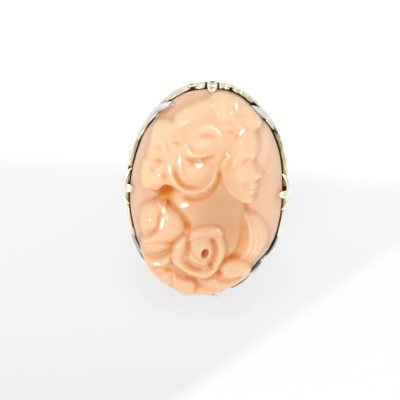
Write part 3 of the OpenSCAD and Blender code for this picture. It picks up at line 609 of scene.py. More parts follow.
def rose(carving):
    # what its petals stand on
    carving.mass([
        (-3.73, -6.55), (-3.6, -5.66), (-2.98, -5.1), (-2.3, -4.54), (-1.62, -3.93), (-0.58, -3.44),
        (0.71, -3.21), (1.66, -3.26), (2.26, -3.69), (2.56, -4.86), (2.78, -6.1), (2.7, -7.24),
        (2.39, -8.07), (1.98, -8.79), (1.55, -9.45), (0.87, -10.04), (0.05, -10.18), (-0.85, -10.09),
        (-1.76, -9.8), (-2.56, -9.25), (-3.37, -8.6), (-3.73, -7.56)], 2.15, 1.0, 0.2, blend=0.15)
    # top petal, lying back, its far edge rolled
    carving.mass([
        (-1.75, -4.67), (-1.55, -4.03), (-0.86, -3.58), (0.13, -3.29), (1.19, -3.13), (1.91, -3.34),
        (2.35, -3.91), (2.28, -4.54), (1.52, -4.83), (0.11, -5.04),
        (-1.43, -5.14)], 2.4, 0.8, 0.15, blend=0.2, base=1.9)
    carving.ridge([
        (0.5, -3.56), (1.21, -3.45), (1.81, -3.59), (2.16, -4.05), (2.17, -4.58)], 0.3, 0.2, 0.3)
    # right petal
    carving.mass([
        (1.96, -4.11), (2.53, -4.89), (2.8, -5.88), (2.72, -6.89), (2.41, -7.73), (1.91, -8.38),
        (1.4, -8.67), (1.19, -8.17), (1.44, -7.33), (1.63, -6.5), (1.6, -5.69), (1.42, -5.01),
        (1.28, -4.52)], 2.8, 0.8, 0.1, blend=0.15, base=1.8)
    # the wide petal at the left, and the one at the foot
    carving.mass([
        (-2.11, -4.5), (-2.74, -4.86), (-3.36, -5.54), (-3.66, -6.45), (-3.66, -7.46), (-3.36, -8.25),
        (-2.75, -8.77), (-2.02, -9.15), (-1.29, -9.48), (-0.69, -9.5), (-0.61, -8.79), (-1.35, -8.46),
        (-1.85, -8), (-2.13, -7.2), (-1.95, -6.3), (-1.85, -5.48),
        (-1.87, -4.79)], 2.8, 1.1, 0.15, blend=0.15, slope=(-0.05, 0), base=1.9)
    carving.ridge([(-3.43, -6.55), (-3.41, -7.31), (-3.2, -8.05), (-2.77, -8.52)], 0.3, 0.1, 0.3)
    carving.ridge([(-2.2, -5.24), (-2.13, -6), (-2.28, -6.77), (-2.33, -7.54)], 0.3, 0.1, 0.3)
    carving.mass([
        (-2.03, -8.96), (-1.34, -8.53), (-0.51, -8.62), (0.33, -8.67), (1.15, -8.44), (1.89, -8.01),
        (2.15, -8.37), (1.55, -9.23), (0.86, -9.75), (0.1, -9.9), (-0.62, -9.7),
        (-1.41, -9.49)], 2.8, 0.9, 0.15, blend=0.15, base=1.9)
    # petal between it and the heart
    carving.mass([
        (-1.82, -6.42), (-1.41, -6.27), (-0.73, -6.78), (0.02, -7.43), (0.66, -7.64), (0.59, -8.01),
        (-0.18, -8.06), (-1.08, -7.79), (-1.65, -7.29)], 2.85, 0.6, 0.1, blend=0.15, base=2.1)
    # heart
    carving.mass([
        (-1.53, -5.16), (-1.08, -4.7), (-0.14, -4.48), (0.63, -4.59), (1.11, -5.17), (1.34, -5.97),
        (1.22, -6.73), (0.9, -7.32), (0.46, -7.71), (-0.2, -7.68), (-0.86, -7.31), (-1.3, -6.64),
        (-1.53, -5.91)], 3.0, 1.6, 0.35, blend=0.15, base=2.2)
    carving.ridge([
        (-0.61, -5.66), (-0.22, -5.28), (0.37, -5.22), (0.82, -5.63), (0.97, -6.22),
        (0.87, -6.98)], 0.3, 0.1, 0.3)
    # hollows between the petals
    carving.ridge([
        (-1.59, -4.75), (-1.67, -5.51), (-1.66, -6.19), (-1.74, -6.83), (-1.96, -7.39)], 0.3, -0.34, 0.3)
    carving.ridge([
        (-1.89, -7.39), (-1.58, -8.03), (-1.05, -8.44), (-0.4, -8.62), (0.19, -8.48)], 0.34, -0.36, 0.25)
    carving.ridge([
        (0.8, -4.53), (1.2, -5.12), (1.45, -5.74), (1.49, -6.51), (1.3, -7.27), (1.1, -7.94),
        (0.94, -8.38)], 0.28, -0.36, 0.2)
    carving.dimple(1.05, -4.97, 0.4, 0.34, -0.22, -35)
    carving.dimple(1.03, -8.07, 0.36, 0.5, -0.3, 20)
    carving.dimple(0.31, -8.42, 0.26, 0.26, 0.34)
    carving.dimple(-1.96, -4.32, 0.28, 0.28, 0.3)
    carving.soften(0.06)
    hollowHeart(carving)


roseHole = {
    "place": (0.33, -6.47), "half": (0.46, 0.7), "turn": -14,
    "floor": 1.75, "rise": 0.45, "mouth": 3.5,      # heights, at its middle and towards the right
}


def hollowHeart(carving):
    # a small pit in the rose's heart, shallower at the right, where it glows
    halfX, halfY = roseHole["half"]
    u, v = carving.turned(*roseHole["place"], roseHole["turn"])
    away = np.hypot(u / halfX, v / halfY)
    floor = roseHole["floor"] + roseHole["rise"] * np.clip(u / halfX, -1, 1)
    pit = floor + (roseHole["mouth"] - floor) * np.clip(away, 0, 1) ** 6
    carving.h = np.where(away < 1, np.minimum(carving.h, pit), carving.h)


def newPiece(name, points, faces, material, node, values=None, crease=None):
    # a smooth mesh from the worn ring's millimetres; values are named numbers for each point
    mesh = bpy.data.meshes.new(name)
    mesh.from_pydata(placed(points).tolist(), [], faces)
    mesh.validate()
    mesh.update()
    for key, numbers in (values or {}).items():
        data = mesh.attributes.new(key, "FLOAT", "POINT").data
        data.foreach_set("value", np.asarray(numbers, np.float32))
    mesh.shade_smooth()
    if crease:
        mesh.set_sharp_from_angle(angle=math.radians(crease))
    piece = bpy.data.objects.new(name, mesh)
    bpy.context.scene.collection.objects.link(piece)
    piece.data.materials.append(material)
    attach(piece, "root")
    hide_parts(node)
    return piece


def joined(name, parts, material, crease=None):
    # one piece of metal from several parts, each with its points, faces and darkness for cuts and painted
    # shade
    points, faces, cutsAndShade, base = [], [], [], 0
    for p, f, c in parts:
        points.append(p)
        cutsAndShade.append(c)
        faces += [tuple(base + k for k in face) for face in f]
        base += len(p)
    cutAndShade = {"cutAndShade": np.concatenate(cutsAndShade)}
    return newPiece(name, np.concatenate(points), faces, material, "setting", cutAndShade, crease)


def gridFaces(rows, columns, closeRows, closeColumns):
    faces = []
    for i in range(rows if closeRows else rows - 1):
        for j in range(columns if closeColumns else columns - 1):
            a, b = i * columns, (i + 1) % rows * columns
            c, d = j, (j + 1) % columns
            faces.append((a + c, b + c, b + d, a + d))
    return faces


def capFaces(rows, columns):
    # closes both ends of a tube whose rows are rings
    last = (rows - 1) * columns
    return [tuple(range(columns)), tuple(last + j for j in reversed(range(columns)))]


def newMaterial(name):
    material = bpy.data.materials.new(name)
    material.use_nodes = True
    return material, material.node_tree, material.node_tree.nodes["Principled BSDF"]


def setSockets(shader, values):
    for name, value in values.items():
        shader.inputs[name].default_value = value


def mixColour(tree, factor, a, b):
    mix = tree.nodes.new("ShaderNodeMix")
    mix.data_type = "RGBA"
    for socket, value in ((mix.inputs[0], factor), (mix.inputs[6], a), (mix.inputs[7], b)):
        if isinstance(value, bpy.types.NodeSocket):
            tree.links.new(value, socket)
        else:
            socket.default_value = (*value, 1)
    return mix.outputs[2]


def ranged(tree, value, low, high, toLow=0.0, toHigh=1.0):
    node = tree.nodes.new("ShaderNodeMapRange")
    node.interpolation_type = "SMOOTHSTEP"
    tree.links.new(value, node.inputs[0])
    for socket, number in zip(list(node.inputs)[1:5], (low, high, toLow, toHigh)):
        socket.default_value = number
    return node.outputs[0]


def noise(tree, scale, detail=3.0, stretch=(1, 1, 1)):
    place = tree.nodes.new("ShaderNodeTexCoord")
    size = tree.nodes.new("ShaderNodeMapping")
    size.inputs["Scale"].default_value = stretch
    node = tree.nodes.new("ShaderNodeTexNoise")
    setSockets(node, {"Scale": scale, "Detail": detail})
    tree.links.new(place.outputs["Object"], size.inputs[0])
    tree.links.new(size.outputs[0], node.inputs["Vector"])
    return node.outputs[0]


def bumped(tree, height, distance, strength):
    node = tree.nodes.new("ShaderNodeBump")
    setSockets(node, {"Distance": distance, "Strength": strength})
    tree.links.new(height, node.inputs["Height"])
    return node.outputs[0]


def numberOf(tree, name):
    node = tree.nodes.new("ShaderNodeAttribute")
    node.attribute_name = name
    return node.outputs["Fac"]


coral = {
    "crest": (0.97, 0.655, 0.43), "body": (0.95, 0.585, 0.36), "warmAndShade": (0.67, 0.385, 0.21),
    "ground": (0.89, 0.58, 0.415), "paintedLightGround": (0.97, 0.665, 0.5), "cloud": (0.93, 0.50, 0.25),
    "tan": (0.83, 0.47, 0.21), "orangeShade": (0.80, 0.29, 0.025), "darkShade": (0.22, 0.06, 0.01),
    # painted shade in the hollows: how hollow a place is where each of these colours sets in and where it is
    # full
    "shadeInHollows": (("tan", 0.04, 0.45), ("orangeShade", 0.4, 1.3), ("darkShade", 2.2, 3.2)),
    "crestHighlightAt": (0.05, -0.3), "paintedLightAt": (-0.05, -0.4), "carvedAt": (0.1, 0.9),
    "clouds": 260, "cloudAt": (0.42, 0.75), "cloudShare": 0.16,
    "grain": 900, "grainAt": (0.3, 0.7), "roughness": (0.19, 0.32),
    "pores": 650, "poreDepth": 0.00002, "poreStrength": 0.5,
    "satin": 0.03, "polish": 1.0,
    "sockets": {
        "Subsurface Weight": 0.6, "Subsurface Radius": (1.0, 0.65, 0.4), "Subsurface Scale": 0.0022,
        "IOR": 1.5, "Specular IOR Level": 0.25, "Coat Roughness": 0.06, "Coat IOR": 2.0},
}


def coralMaterial():
    # painted highlight paler on its crests, painted shade deeper orange in its hollows and about the neck,
    # polished only where "shine" says so
    material, tree, shader = newMaterial("polishedCoral")
    hollow, height = numberOf(tree, "hollow"), numberOf(tree, "height")
    # painted highlight: paler on the crests, and on ground that stands proud or is painted paler
    carved = mixColour(tree, ranged(tree, hollow, *coral["crestHighlightAt"]), coral["body"], coral["crest"])
    # a warmer tone towards the foot, and painted shade about the neck
    carved = mixColour(tree, numberOf(tree, "warmthAndShade"), carved, coral["warmAndShade"])
    ground = mixColour(tree, ranged(tree, hollow, *coral["paintedLightAt"]), coral["ground"], coral["paintedLightGround"])
    colour = mixColour(tree, ranged(tree, height, *coral["carvedAt"]), ground, carved)
    # painted shade: tan, deeper orange and dark brown in the hollows
    for name, low, high in coral["shadeInHollows"]:
        colour = mixColour(tree, ranged(tree, hollow, low, high), colour, coral[name])
    clouds = ranged(tree, noise(tree, coral["clouds"], 3), *coral["cloudAt"], 0.0, coral["cloudShare"])
    tree.links.new(mixColour(tree, clouds, colour, coral["cloud"]), shader.inputs["Base Color"])
    rough = ranged(tree, noise(tree, coral["grain"], 2), *coral["grainAt"], *coral["roughness"])
    tree.links.new(rough, shader.inputs["Roughness"])
    pores = bumped(tree, noise(tree, coral["pores"], 4), coral["poreDepth"], coral["poreStrength"])
    tree.links.new(pores, shader.inputs["Normal"])
    coat = ranged(tree, numberOf(tree, "shine"), 0, 1, coral["satin"], coral["polish"])
    tree.links.new(coat, shader.inputs["Coat Weight"])
    setSockets(shader, coral["sockets"])
    return material


gold = {
    "yellow": (1.0, 0.965, 0.82), "yellowShade": (0.58, 0.51, 0.28), "yellowRough": 0.22,
    "white": (0.92, 0.92, 0.90), "whiteShade": (0.45, 0.44, 0.42), "whiteRough": 0.34,
    "darkPatinaAndShade": (0.062, 0.03, 0.017), "brown": (0.36, 0.20, 0.06), "cutRough": 0.55,
    # how deep a cut and how much painted shade there is where each tone sets in and where it is full
    "shadeAt": (0.2, 0.6), "brownAt": (0.45, 0.75), "darkAt": (0.72, 1.0), "roughAt": (0.2, 1.1),
    "wear": 1500, "wearShare": 0.16, "stains": 500, "stainsAt": (0.4, 0.66),
    "brushing": 2400, "brushStretch": (1, 1, 0.35), "brushDepth": 0.00002, "brushStrength": 0.6,
}


def goldMaterial(name, colour, shade, rough, brown=True):
    # bright on its crests, toned on its slopes and dark in its cuts, as painted shade with some patina in
    # the cuts; the number is 1 at the bottom of a cut and where the painted shade is darkest
    material, tree, shader = newMaterial(name)
    uneven = tree.nodes.new("ShaderNodeMath")
    uneven.operation = "MULTIPLY_ADD"
    tree.links.new(noise(tree, gold["wear"], 4), uneven.inputs[0])
    uneven.inputs[1].default_value = gold["wearShare"]
    tree.links.new(numberOf(tree, "cutAndShade"), uneven.inputs[2])
    wornAndShaded = uneven.outputs[0]
    tint = mixColour(tree, ranged(tree, wornAndShaded, *gold["shadeAt"]), colour, shade)
    if brown:
        stains = ranged(tree, noise(tree, gold["stains"], 2), *gold["stainsAt"])
        toned = mixColour(tree, stains, shade, gold["brown"])
        tint = mixColour(tree, ranged(tree, wornAndShaded, *gold["brownAt"]), tint, toned)
    tint = mixColour(tree, ranged(tree, wornAndShaded, *gold["darkAt"]), tint, gold["darkPatinaAndShade"])
    tree.links.new(tint, shader.inputs["Base Color"])
    roughness = ranged(tree, wornAndShaded, *gold["roughAt"], rough, gold["cutRough"])
    tree.links.new(roughness, shader.inputs["Roughness"])
    brushing = noise(tree, gold["brushing"], 3, gold["brushStretch"])
    brushed = bumped(tree, brushing, gold["brushDepth"], gold["brushStrength"])
    tree.links.new(brushed, shader.inputs["Normal"])
    setSockets(shader, {"Metallic": 1.0})
    return material


cameoMesh = {
    "rings": 150, "bend": 0.86, "kept": 0.95,   # past this share of the rings they lie closer together
    "edgeRound": 0.35, "footFrom": 9.0, "footRound": 1.6,
    "bulge": 0.2, "bulgeReach": 0.8, "bulgeFrom": 9.5, "footBulge": 0.7,
    # places are hollow by how far they lie under the mean of what is round them: reach, weight
    "hollows": ((1.8, 0.45), (0.6, 0.8)), "amongReach": 1.1, "amongHeight": 0.25,
    # warmer towards the foot and cooler at the right: from, over, how much
    "warmFoot": (5.0, 13, 0.42), "coolRight": (3.0, 3, 0.25),
    # painted shade, warmer and darker, round these places about the neck: x, y, reach, fade, how much; the
    # last only where the carving is low
    "shadeSpots": ((0.5, 2.5, 5.0, 4, 0.25), (2.6, -1.2, 6.0, 4, 0.33)),
    "shadeLow": (1.8, -2.4, 4.8, 3, 0.26), "lowUnder": 2.2, "lowOver": 0.8,
}


def sampled(grid, carving, x, y):
    # value of a grid at any points, straight between its cells
    i = np.clip((x - carving.xs[0]) / carving.step, 0, len(carving.xs) - 1.001)
    j = np.clip((y - carving.ys[0]) / carving.step, 0, len(carving.ys) - 1.001)
    i0, j0 = i.astype(int), j.astype(int)
    u, v = i - i0, j - j0
    low = grid[j0, i0] * (1 - u) + grid[j0, i0 + 1] * u
    high = grid[j0 + 1, i0] * (1 - u) + grid[j0 + 1, i0 + 1] * u
    return low * (1 - v) + high * v


def hollowness(relief, step):
    # above 0 in the hollows among the carved shapes, below 0 on the crests
    hollow = sum(weight * (blurred(relief, reach / step) - relief) for reach, weight in cameoMesh["hollows"])
    carved = (relief > cameoMesh["amongHeight"]).astype(float)
    among = blurred(carved, cameoMesh["amongReach"] / step)
    return np.where(hollow > 0, hollow * smoothStep((among - 0.5) / 0.35), hollow)


def warmthAndShadeAt(x, y, h):
    # how far the coral has turned a deeper orange: towards the foot, and as painted shade about the neck
    start, over, amount = cameoMesh["warmFoot"]
    warmthAndShade = amount * smoothStep((start - y) / over)
    start, over, amount = cameoMesh["coolRight"]
    warmthAndShade -= amount * smoothStep((x - start) / over)
    low = smoothStep((cameoMesh["lowUnder"] - h) / cameoMesh["lowOver"])
    for spot, where in [(spot, 1.0) for spot in cameoMesh["shadeSpots"]] + [(cameoMesh["shadeLow"], low)]:
        spotX, spotY, reach, fade, amount = spot
        warmthAndShade += amount * smoothStep((reach - np.hypot(x - spotX, y - spotY)) / fade) * where
    return np.clip(warmthAndShade, 0, 1)


def ringStart(i):
    # first point of ring i; each ring has eight points more than the one inside it
    return 1 + 4 * i * (i - 1)


def ringPoint(i, k):
    return ringStart(i) + k % (8 * i)


def ringFaces(n):
    # triangles between the rings, eight like sectors
    faces = [(0, ringPoint(1, k), ringPoint(1, k + 1)) for k in range(8)]
    for i in range(1, n):
        for sector in range(8):
            a, b = sector * i, sector * (i + 1)
            for k in range(i + 1):
                faces.append((ringPoint(i, a + k), ringPoint(i + 1, b + k), ringPoint(i + 1, b + k + 1)))
            for k in range(i):
                faces.append((ringPoint(i, a + k), ringPoint(i + 1, b + k + 1), ringPoint(i, a + k + 1)))
    return faces


def stoneBack(rim, start, count):
    # the girdle's plain side, a small bevel and the flat back, below the ring that starts there
    points, faces = [], []
    edge, last = stoneEdge(rim), len(rim)
    for inward, z in ((0.0, stone["backZ"] + stone["bevel"]), (stone["bevel"], stone["backZ"])):
        reach = edge - inward
        points.append(np.stack([reach * np.cos(rim), reach * np.sin(rim), np.full(last, z)], 1))
        for k in range(last):
            after = (k + 1) % last
            faces.append((start + k, count + k, count + after, start + after))
        start, count = count, count + last
    points.append(np.array([[0, 0, stone["backZ"]]]))
    faces += [(start + (k + 1) % last, start + k, count) for k in range(last)]
    return points, faces


def cameo(material):
    carving = carve()
    depth = stoneEdge(np.arctan2(carving.y, carving.x)) - np.hypot(carving.x, carving.y)
    foot = smoothStep((-carving.y - cameoMesh["footFrom"]) / 2.5)
    relief = carving.h * roundEdge(depth / (1 + cameoMesh["footRound"] * foot), cameoMesh["edgeRound"])
    # the coral's painted shade and painted light follow this
    hollow = hollowness(relief, carving.step) + carving.paintedShading
    n, bend, kept = cameoMesh["rings"], cameoMesh["bend"], cameoMesh["kept"]
    t = np.arange(n + 1) / n
    late = (t - bend) / (1 - bend)
    share = np.where(t < bend, t / bend * kept, kept + (1 - kept) * (1 - (1 - late) ** 2))
    ringOf = np.concatenate([[0]] + [np.full(8 * i, i) for i in range(1, n + 1)])
    around = [np.arange(8 * i) * (math.pi / 4 / i) for i in range(1, n + 1)]
    around = np.concatenate([[0.0]] + around)
    reach, q = stoneEdge(around), share[ringOf]
    x, y = q * reach * np.cos(around), q * reach * np.sin(around)
    h = sampled(relief, carving, x, y)
    h[ringOf == n] = 0
    # near the edge the carving bulges out, less at the foot
    near = smoothStep(h / 1.5) * smoothStep(1 - (1 - q) * reach / cameoMesh["bulgeReach"])
    low = smoothStep((-y - cameoMesh["bulgeFrom"]) / 2)
    bulge = cameoMesh["bulge"] * (1 - cameoMesh["footBulge"] * low)
    push = 1 + bulge * near / np.maximum(reach, 1)
    points = [np.stack([x * push, y * push, stone["girdleZ"] + domeHeight(q) + h], 1)]
    backPoints, backFaces = stoneBack(around[ringOf == n], ringStart(n), len(x))
    points = np.concatenate(points + backPoints)
    values = {"hollow": sampled(hollow, carving, x, y), "shine": sampled(carving.shine, carving, x, y),
              "height": h, "warmthAndShade": warmthAndShadeAt(x, y, h)}
    plain = np.zeros(len(points) - len(x))
    values = {name: np.concatenate([numbers, plain]) for name, numbers in values.items()}
    return newPiece("cameoCarved", points, ringFaces(n) + backFaces, material, "cameo", values)


# the foot of the oval, where the carving overhangs the rim, and its far end: middle in quarters, how
# widely the end reaches round and how softly it stops
ovalEnds = {"foot": (3.02, -0.68, 0.14), "far": (0.93, 0.1, 0.6)}


def endShare(s, end):
    # 1 round that end of the oval
    middle, wide, soft = ovalEnds[end]
    return smoothStep((np.cos((s - middle * quarter) / whole * 2 * math.pi) + wide) / soft)


def ovalBand(name, rows, cutsAndShade, material, crease=None):
    # a closed band round the oval from its rows, with a darkness for cuts and painted shade for each row or
    # for each point
    points = np.stack(rows, 1)
    cutsAndShade = np.broadcast_to(np.stack(cutsAndShade, -1), points.shape[:2])
    faces = gridFaces(*points.shape[:2], True, True)
    return joined(name, [(points.reshape(-1, 3), faces, cutsAndShade.reshape(-1))], material, crease)


collar = {
    "stations": 960, "wider": 0.26, "narrower": 0.45, "lower": 0.5,    # at the far end and at the foot
    "reachFrom": 12.3, "reachOver": 0.9, "lowerFrom": 12.8, "gapFrom": 13.3, "gapDepth": 0.12,
    # offset from the stone's edge, height, and how dark, as painted shade with some patina on the side
    # towards the stone
    "section": (
        (0.05, 12.45, 0.9), (0.04, 13.2, 1.0), (0.05, 13.62, 1.0), (0.1, 13.72, 0.95), (0.2, 13.74, 0.8),
        (0.34, 13.66, 0.45), (0.48, 13.4, 0.2), (0.52, 12.95, 0.2), (0.46, 12.7, 0.4), (0.36, 12.45, 0.7)),
    # gaps, notched and darkened with painted shade: place along the rim, half length
    "shadedGaps": (
        (19.23, 0.3), (17.68, 0.12), (16.42, 0.16), (14.92, 0.2), (11.85, 0.32), (8.05, 0.3), (31.75, 0.4),
        (0.9, 0.5), (64.9, 0.4)),
}


def rimCollar(material):
    # collar behind the leaves, dark with painted shade and some patina, wider at the far end, tucked in
    # under the carving at the foot
    s = np.arange(collar["stations"]) * whole / collar["stations"]
    foot, far = endShare(s, "foot"), endShare(s, "far")
    shadedGap = np.zeros(len(s))
    for place, half in collar["shadedGaps"]:
        shadedGap = np.maximum(shadedGap, 1 - smoothStep((np.abs(s - place) / half - 0.6) / 0.6))
    rows, cutsAndShade = [], []
    for offset, z, cutAndShade in collar["section"]:
        outer = smoothStep((offset - 0.15) / 0.3)
        reach = furtherOut(s) * smoothStep((z - collar["reachFrom"]) / collar["reachOver"])
        reach *= 1 - 0.5 * outer * far
        reach += offset + outer * (collar["wider"] * far - collar["narrower"] * foot)
        drop = collar["lower"] * foot * (z > collar["lowerFrom"])
        drop += collar["gapDepth"] * shadedGap * (z > collar["gapFrom"])
        rows.append(alongOval(s, reach, z - drop))
        cutsAndShade.append(np.maximum(cutAndShade, shadedGap * (z > 13)))
    return ovalBand("rimCollar", rows, cutsAndShade, material)


ledge = {
    "stations": 480,
    # offset from the stone's edge, height, and how dark, as painted shade under the stone
    "section": (
        (0.2, 12.42, 0.25), (0.05, 12.4, 0.6), (-0.95, 12.35, 0.9), (-0.95, 11.95, 0.9),
        (-0.4, 11.9, 0.8), (0.1, 12.1, 0.5), (0.5, 12.45, 0.3)),
}


def seatLedge(material):
    # what the stone's back rests on
    s = np.arange(ledge["stations"]) * whole / ledge["stations"]
    rows = [alongOval(s, offset, z) for offset, z, _ in ledge["section"]]
    cutsAndShade = [cutAndShade for _, _, cutAndShade in ledge["section"]]
    return ovalBand("seatLedge", rows, cutsAndShade, material, 50)


blade = {
    "sides": 16, "parts": 4, "square": 0.65, "hollowWidth": 0.7,
    # painted shade: how dark it is towards the stone, at its sides, underneath and in its hollow
    "innerShade": 0.55, "sideShade": 0.3, "underShade": 0.7, "hollowShade": 5,
}


def bladeOn(s0, stations, lean, flip=1, shadeTone=0.0):
    # a shaped blade: each station is (t, offset, z, half width, thickness, hollow), t from s0 along the rim;
    # lean tips its face outwards, tone darkens it and its side towards the stone as painted shade
    sides = blade["sides"]
    path = smoothPath(stations, False, blade["parts"])
    at = s0 + flip * path[:, 0]
    centre = alongOval(at, path[:, 1], path[:, 2])
    run = np.gradient(centre, axis=0)
    run /= np.linalg.norm(run, axis=1)[:, None]
    _, out = onOval(at)
    rows, cutsAndShade = [], []
    for i, (_, _, _, half, thick, hollow) in enumerate(path):
        side = np.cross(run[i], [lean * out[i][0], lean * out[i][1], 1.0])
        side /= np.linalg.norm(side)
        top = np.cross(side, run[i])
        for a in np.arange(sides) * 2 * math.pi / sides:
            c, up = math.cos(a), math.sin(a)
            dip = hollow * max(0.0, 1 - (c / blade["hollowWidth"]) ** 2) if up > 0.1 else 0.0
            level = math.copysign(abs(up) ** blade["square"], up) * thick / 2
            rows.append(centre[i] + side * half * c + top * (level - dip))
            inner = max(0.0, -c * flip) if lean else 0.0
            if up > 0.1:
                cutAndShade = max(blade["hollowShade"] * dip, blade["innerShade"] * inner**2)
            else:
                cutAndShade = blade["sideShade"] * (1 + inner) if up > -0.2 else blade["underShade"]
            cutsAndShade.append(shadeTone * (0.6 + 0.4 * inner) + cutAndShade)
    n = len(path)
    faces = gridFaces(n, sides, False, True) + capFaces(n, sides)
    return np.array(rows), faces, np.clip(cutsAndShade, 0, 1)


def beadAt(s, offset, z, radius, rings=7, sides=12):
    c = alongOval(s, offset, z)
    points = []
    for b in np.linspace(-1.5, 1.5, rings):
        for a in np.arange(sides) * 2 * math.pi / sides:
            way = np.array([math.cos(a) * math.cos(b), math.sin(a) * math.cos(b), math.sin(b)])
            points.append(c + radius * way)
    faces = gridFaces(rings, sides, False, True) + capFaces(rings, sides)
    return np.array(points), faces, np.zeros(rings * sides)


rimLeaf = {
    "height": 13.64, "thick": 0.34, "lean": 0.6, "hollow": 0.05, "arch": 0.1, "bow": 0.04,
    "inwards": 0.1, "footInwards": 0.35, "footLower": 0.6,
    # width by the share of the length
    "widths": ((0.0, 0.25), (0.1, 0.66), (0.3, 0.97), (0.6, 1.0), (0.82, 0.78), (0.94, 0.45), (1.0, 0.12)),
    # start and end along the rim, offset, half width, and how much shade is painted on it
    "yellow": (
        (16.3, 15.76, 0.44, 0.28, 0.1), (15.72, 15.08, 0.48, 0.32, 0.0), (17.82, 18.9, 0.42, 0.28, 0.0),
        (14.75, 13.7, 0.5, 0.32, 0.1), (14.0, 12.9, 0.5, 0.33, 0.15), (13.15, 12.1, 0.5, 0.33, 0.2),
        (19.5, 22.6, 0.5, 0.36, 0.05), (10.1, 8.1, 0.55, 0.36, 0.0), (7.7, 6.7, 0.5, 0.34, 0.5),
        (7.0, 5.5, 0.48, 0.3, 0.5), (5.75, 3.2, 0.5, 0.26, 0.2), (25.9, 28.15, 0.47, 0.3, 0.0),
        (28.0, 29.7, 0.42, 0.25, 0.4), (29.4, 31.2, 0.46, 0.2, 0.15), (35.9, 39.3, 0.38, 0.19, 0.0),
        (66.4, 62.6, 0.42, 0.19, 0.0), (59.6, 57.6, 0.3, 0.16, 0.2), (18.5, 20.0, 0.68, 0.13, 0.0),
        (11.2, 12.6, 0.7, 0.13, 0.0), (14.5, 15.4, 0.68, 0.11, 0.0), (7.3, 8.7, 0.66, 0.13, 0.4),
        (38.9, 42.4, 0.26, 0.13, 1.3), (42.6, 44.6, 0.17, 0.17, 0.0), (45.0, 47.6, 0.16, 0.16, 0.0)),
    "white": (
        (23.1, 26.1, 0.55, 0.38, 0.0), (38.6, 40.3, 0.36, 0.24, 0.1), (40.0, 42.3, 0.32, 0.26, 0.75),
        (63.6, 60.4, 0.4, 0.2, 0.7)),
}


def leafOnRim(start, end, offset, half, shadeTone):
    # one long leaf lying on the collar's slope, hollowed along its middle
    stations = []
    for u, width in rimLeaf["widths"]:
        s = start + (end - start) * u
        foot = float(endShare(s, "foot"))
        rise = math.sin(math.pi * u)
        reach = offset - rimLeaf["inwards"] + 0.9 * float(furtherOut(s))
        reach += rimLeaf["bow"] * rise - rimLeaf["footInwards"] * foot
        z = rimLeaf["height"] + rimLeaf["arch"] * rise - rimLeaf["footLower"] * foot
        thick = rimLeaf["thick"] * (0.5 + 0.5 * width)
        hollow = rimLeaf["hollow"] * width
        stations.append((abs(end - start) * u, reach, z, half * width, thick, hollow))
    return bladeOn(start, stations, rimLeaf["lean"], 1 if end > start else -1, shadeTone)


def rimLeaves(yellowGold, whiteGold):
    yellow = [leafOnRim(*leaf) for leaf in rimLeaf["yellow"]]
    white = [leafOnRim(*leaf) for leaf in rimLeaf["white"]]
    joined("rimLeavesYellow", yellow, yellowGold)
    joined("rimLeavesWhite", white, whiteGold)


shadowLine = {
    "height": 13.6, "thick": 0.16, "lean": 0.3,
    # where it shows: start, side, how dark the painted shadow is, then offset and half width by place
    "places": (
        (25.4, -1, 0.62, ((0, 0.3, 0.05), (1.0, 0.11, 0.13), (2.0, -0.1, 0.14), (2.9, -0.36, 0.05))),
        (63.9, -1, 1.3, ((0, 0.2, 0.08), (1.0, 0.17, 0.15), (2.1, 0.14, 0.19), (3.9, 0.05, 0.19),
                         (5.3, 0.04, 0.15), (6.2, 0.0, 0.05))),
        (57.6, -1, 1.3, ((0, 0.2, 0.05), (0.6, 0.21, 0.14), (1.7, 0.21, 0.14), (2.9, 0.17, 0.04)))),
}


def shadowLines(material):
    # painted shadow: a dark blade along the seam between stone and rim, where it is widest, amber by the
    # north-west prong as painted shadow and reflection
    parts = []
    for s0, flip, shadeTone, places in shadowLine["places"]:
        z, thick = shadowLine["height"], shadowLine["thick"]
        stations = [(t, offset, z, half, thick, 0) for t, offset, half in places]
        parts.append(bladeOn(s0, stations, shadowLine["lean"], flip, shadeTone))
    return joined("paintedShadowSeam", parts, material)


wall = {
    "thick": 0.55, "middle": 10.78, "half": 1.27,
    # offset from the stone's edge, height
    "profile": ((-3.1, 7.35), (-2.45, 9.55), (-1.35, 11.05), (0.15, 12.1), (0.5, 12.5)),
    "archHalf": 0.66, "archRise": 0.95, "archRim": 0.12,
    "eyelet": 0.28, "eyeletAt": 0.72, "eyeletFoot": 0.26, "eyeletSide": 0.5, "eyeletRim": 0.06,
    "inwards": 1.2, "shadeOutside": 0.35, "shadeInside": 0.8,
    # from the outline in to the hole: share of the way, how far the rim stands up
    "steps": ((1.0, 0.0), (0.55, 0.0), (0.2, 0.2), (0.08, 1.0), (0.0, 0.8)),
}


def wallOffset(z):
    offsets, heights = zip(*wall["profile"])
    return np.interp(z, heights, offsets)


def outlinePoints(corners, spacing=0.3):
    # a closed outline through its corners, with points about so far apart
    points = []
    for a, b in zip(corners, corners[1:] + corners[:1]):
        n = max(1, round(math.dist(a, b) / spacing))
        points += [(a[0] + (b[0] - a[0]) * k / n, a[1] + (b[1] - a[1]) * k / n) for k in range(n)]
    return np.array(points)


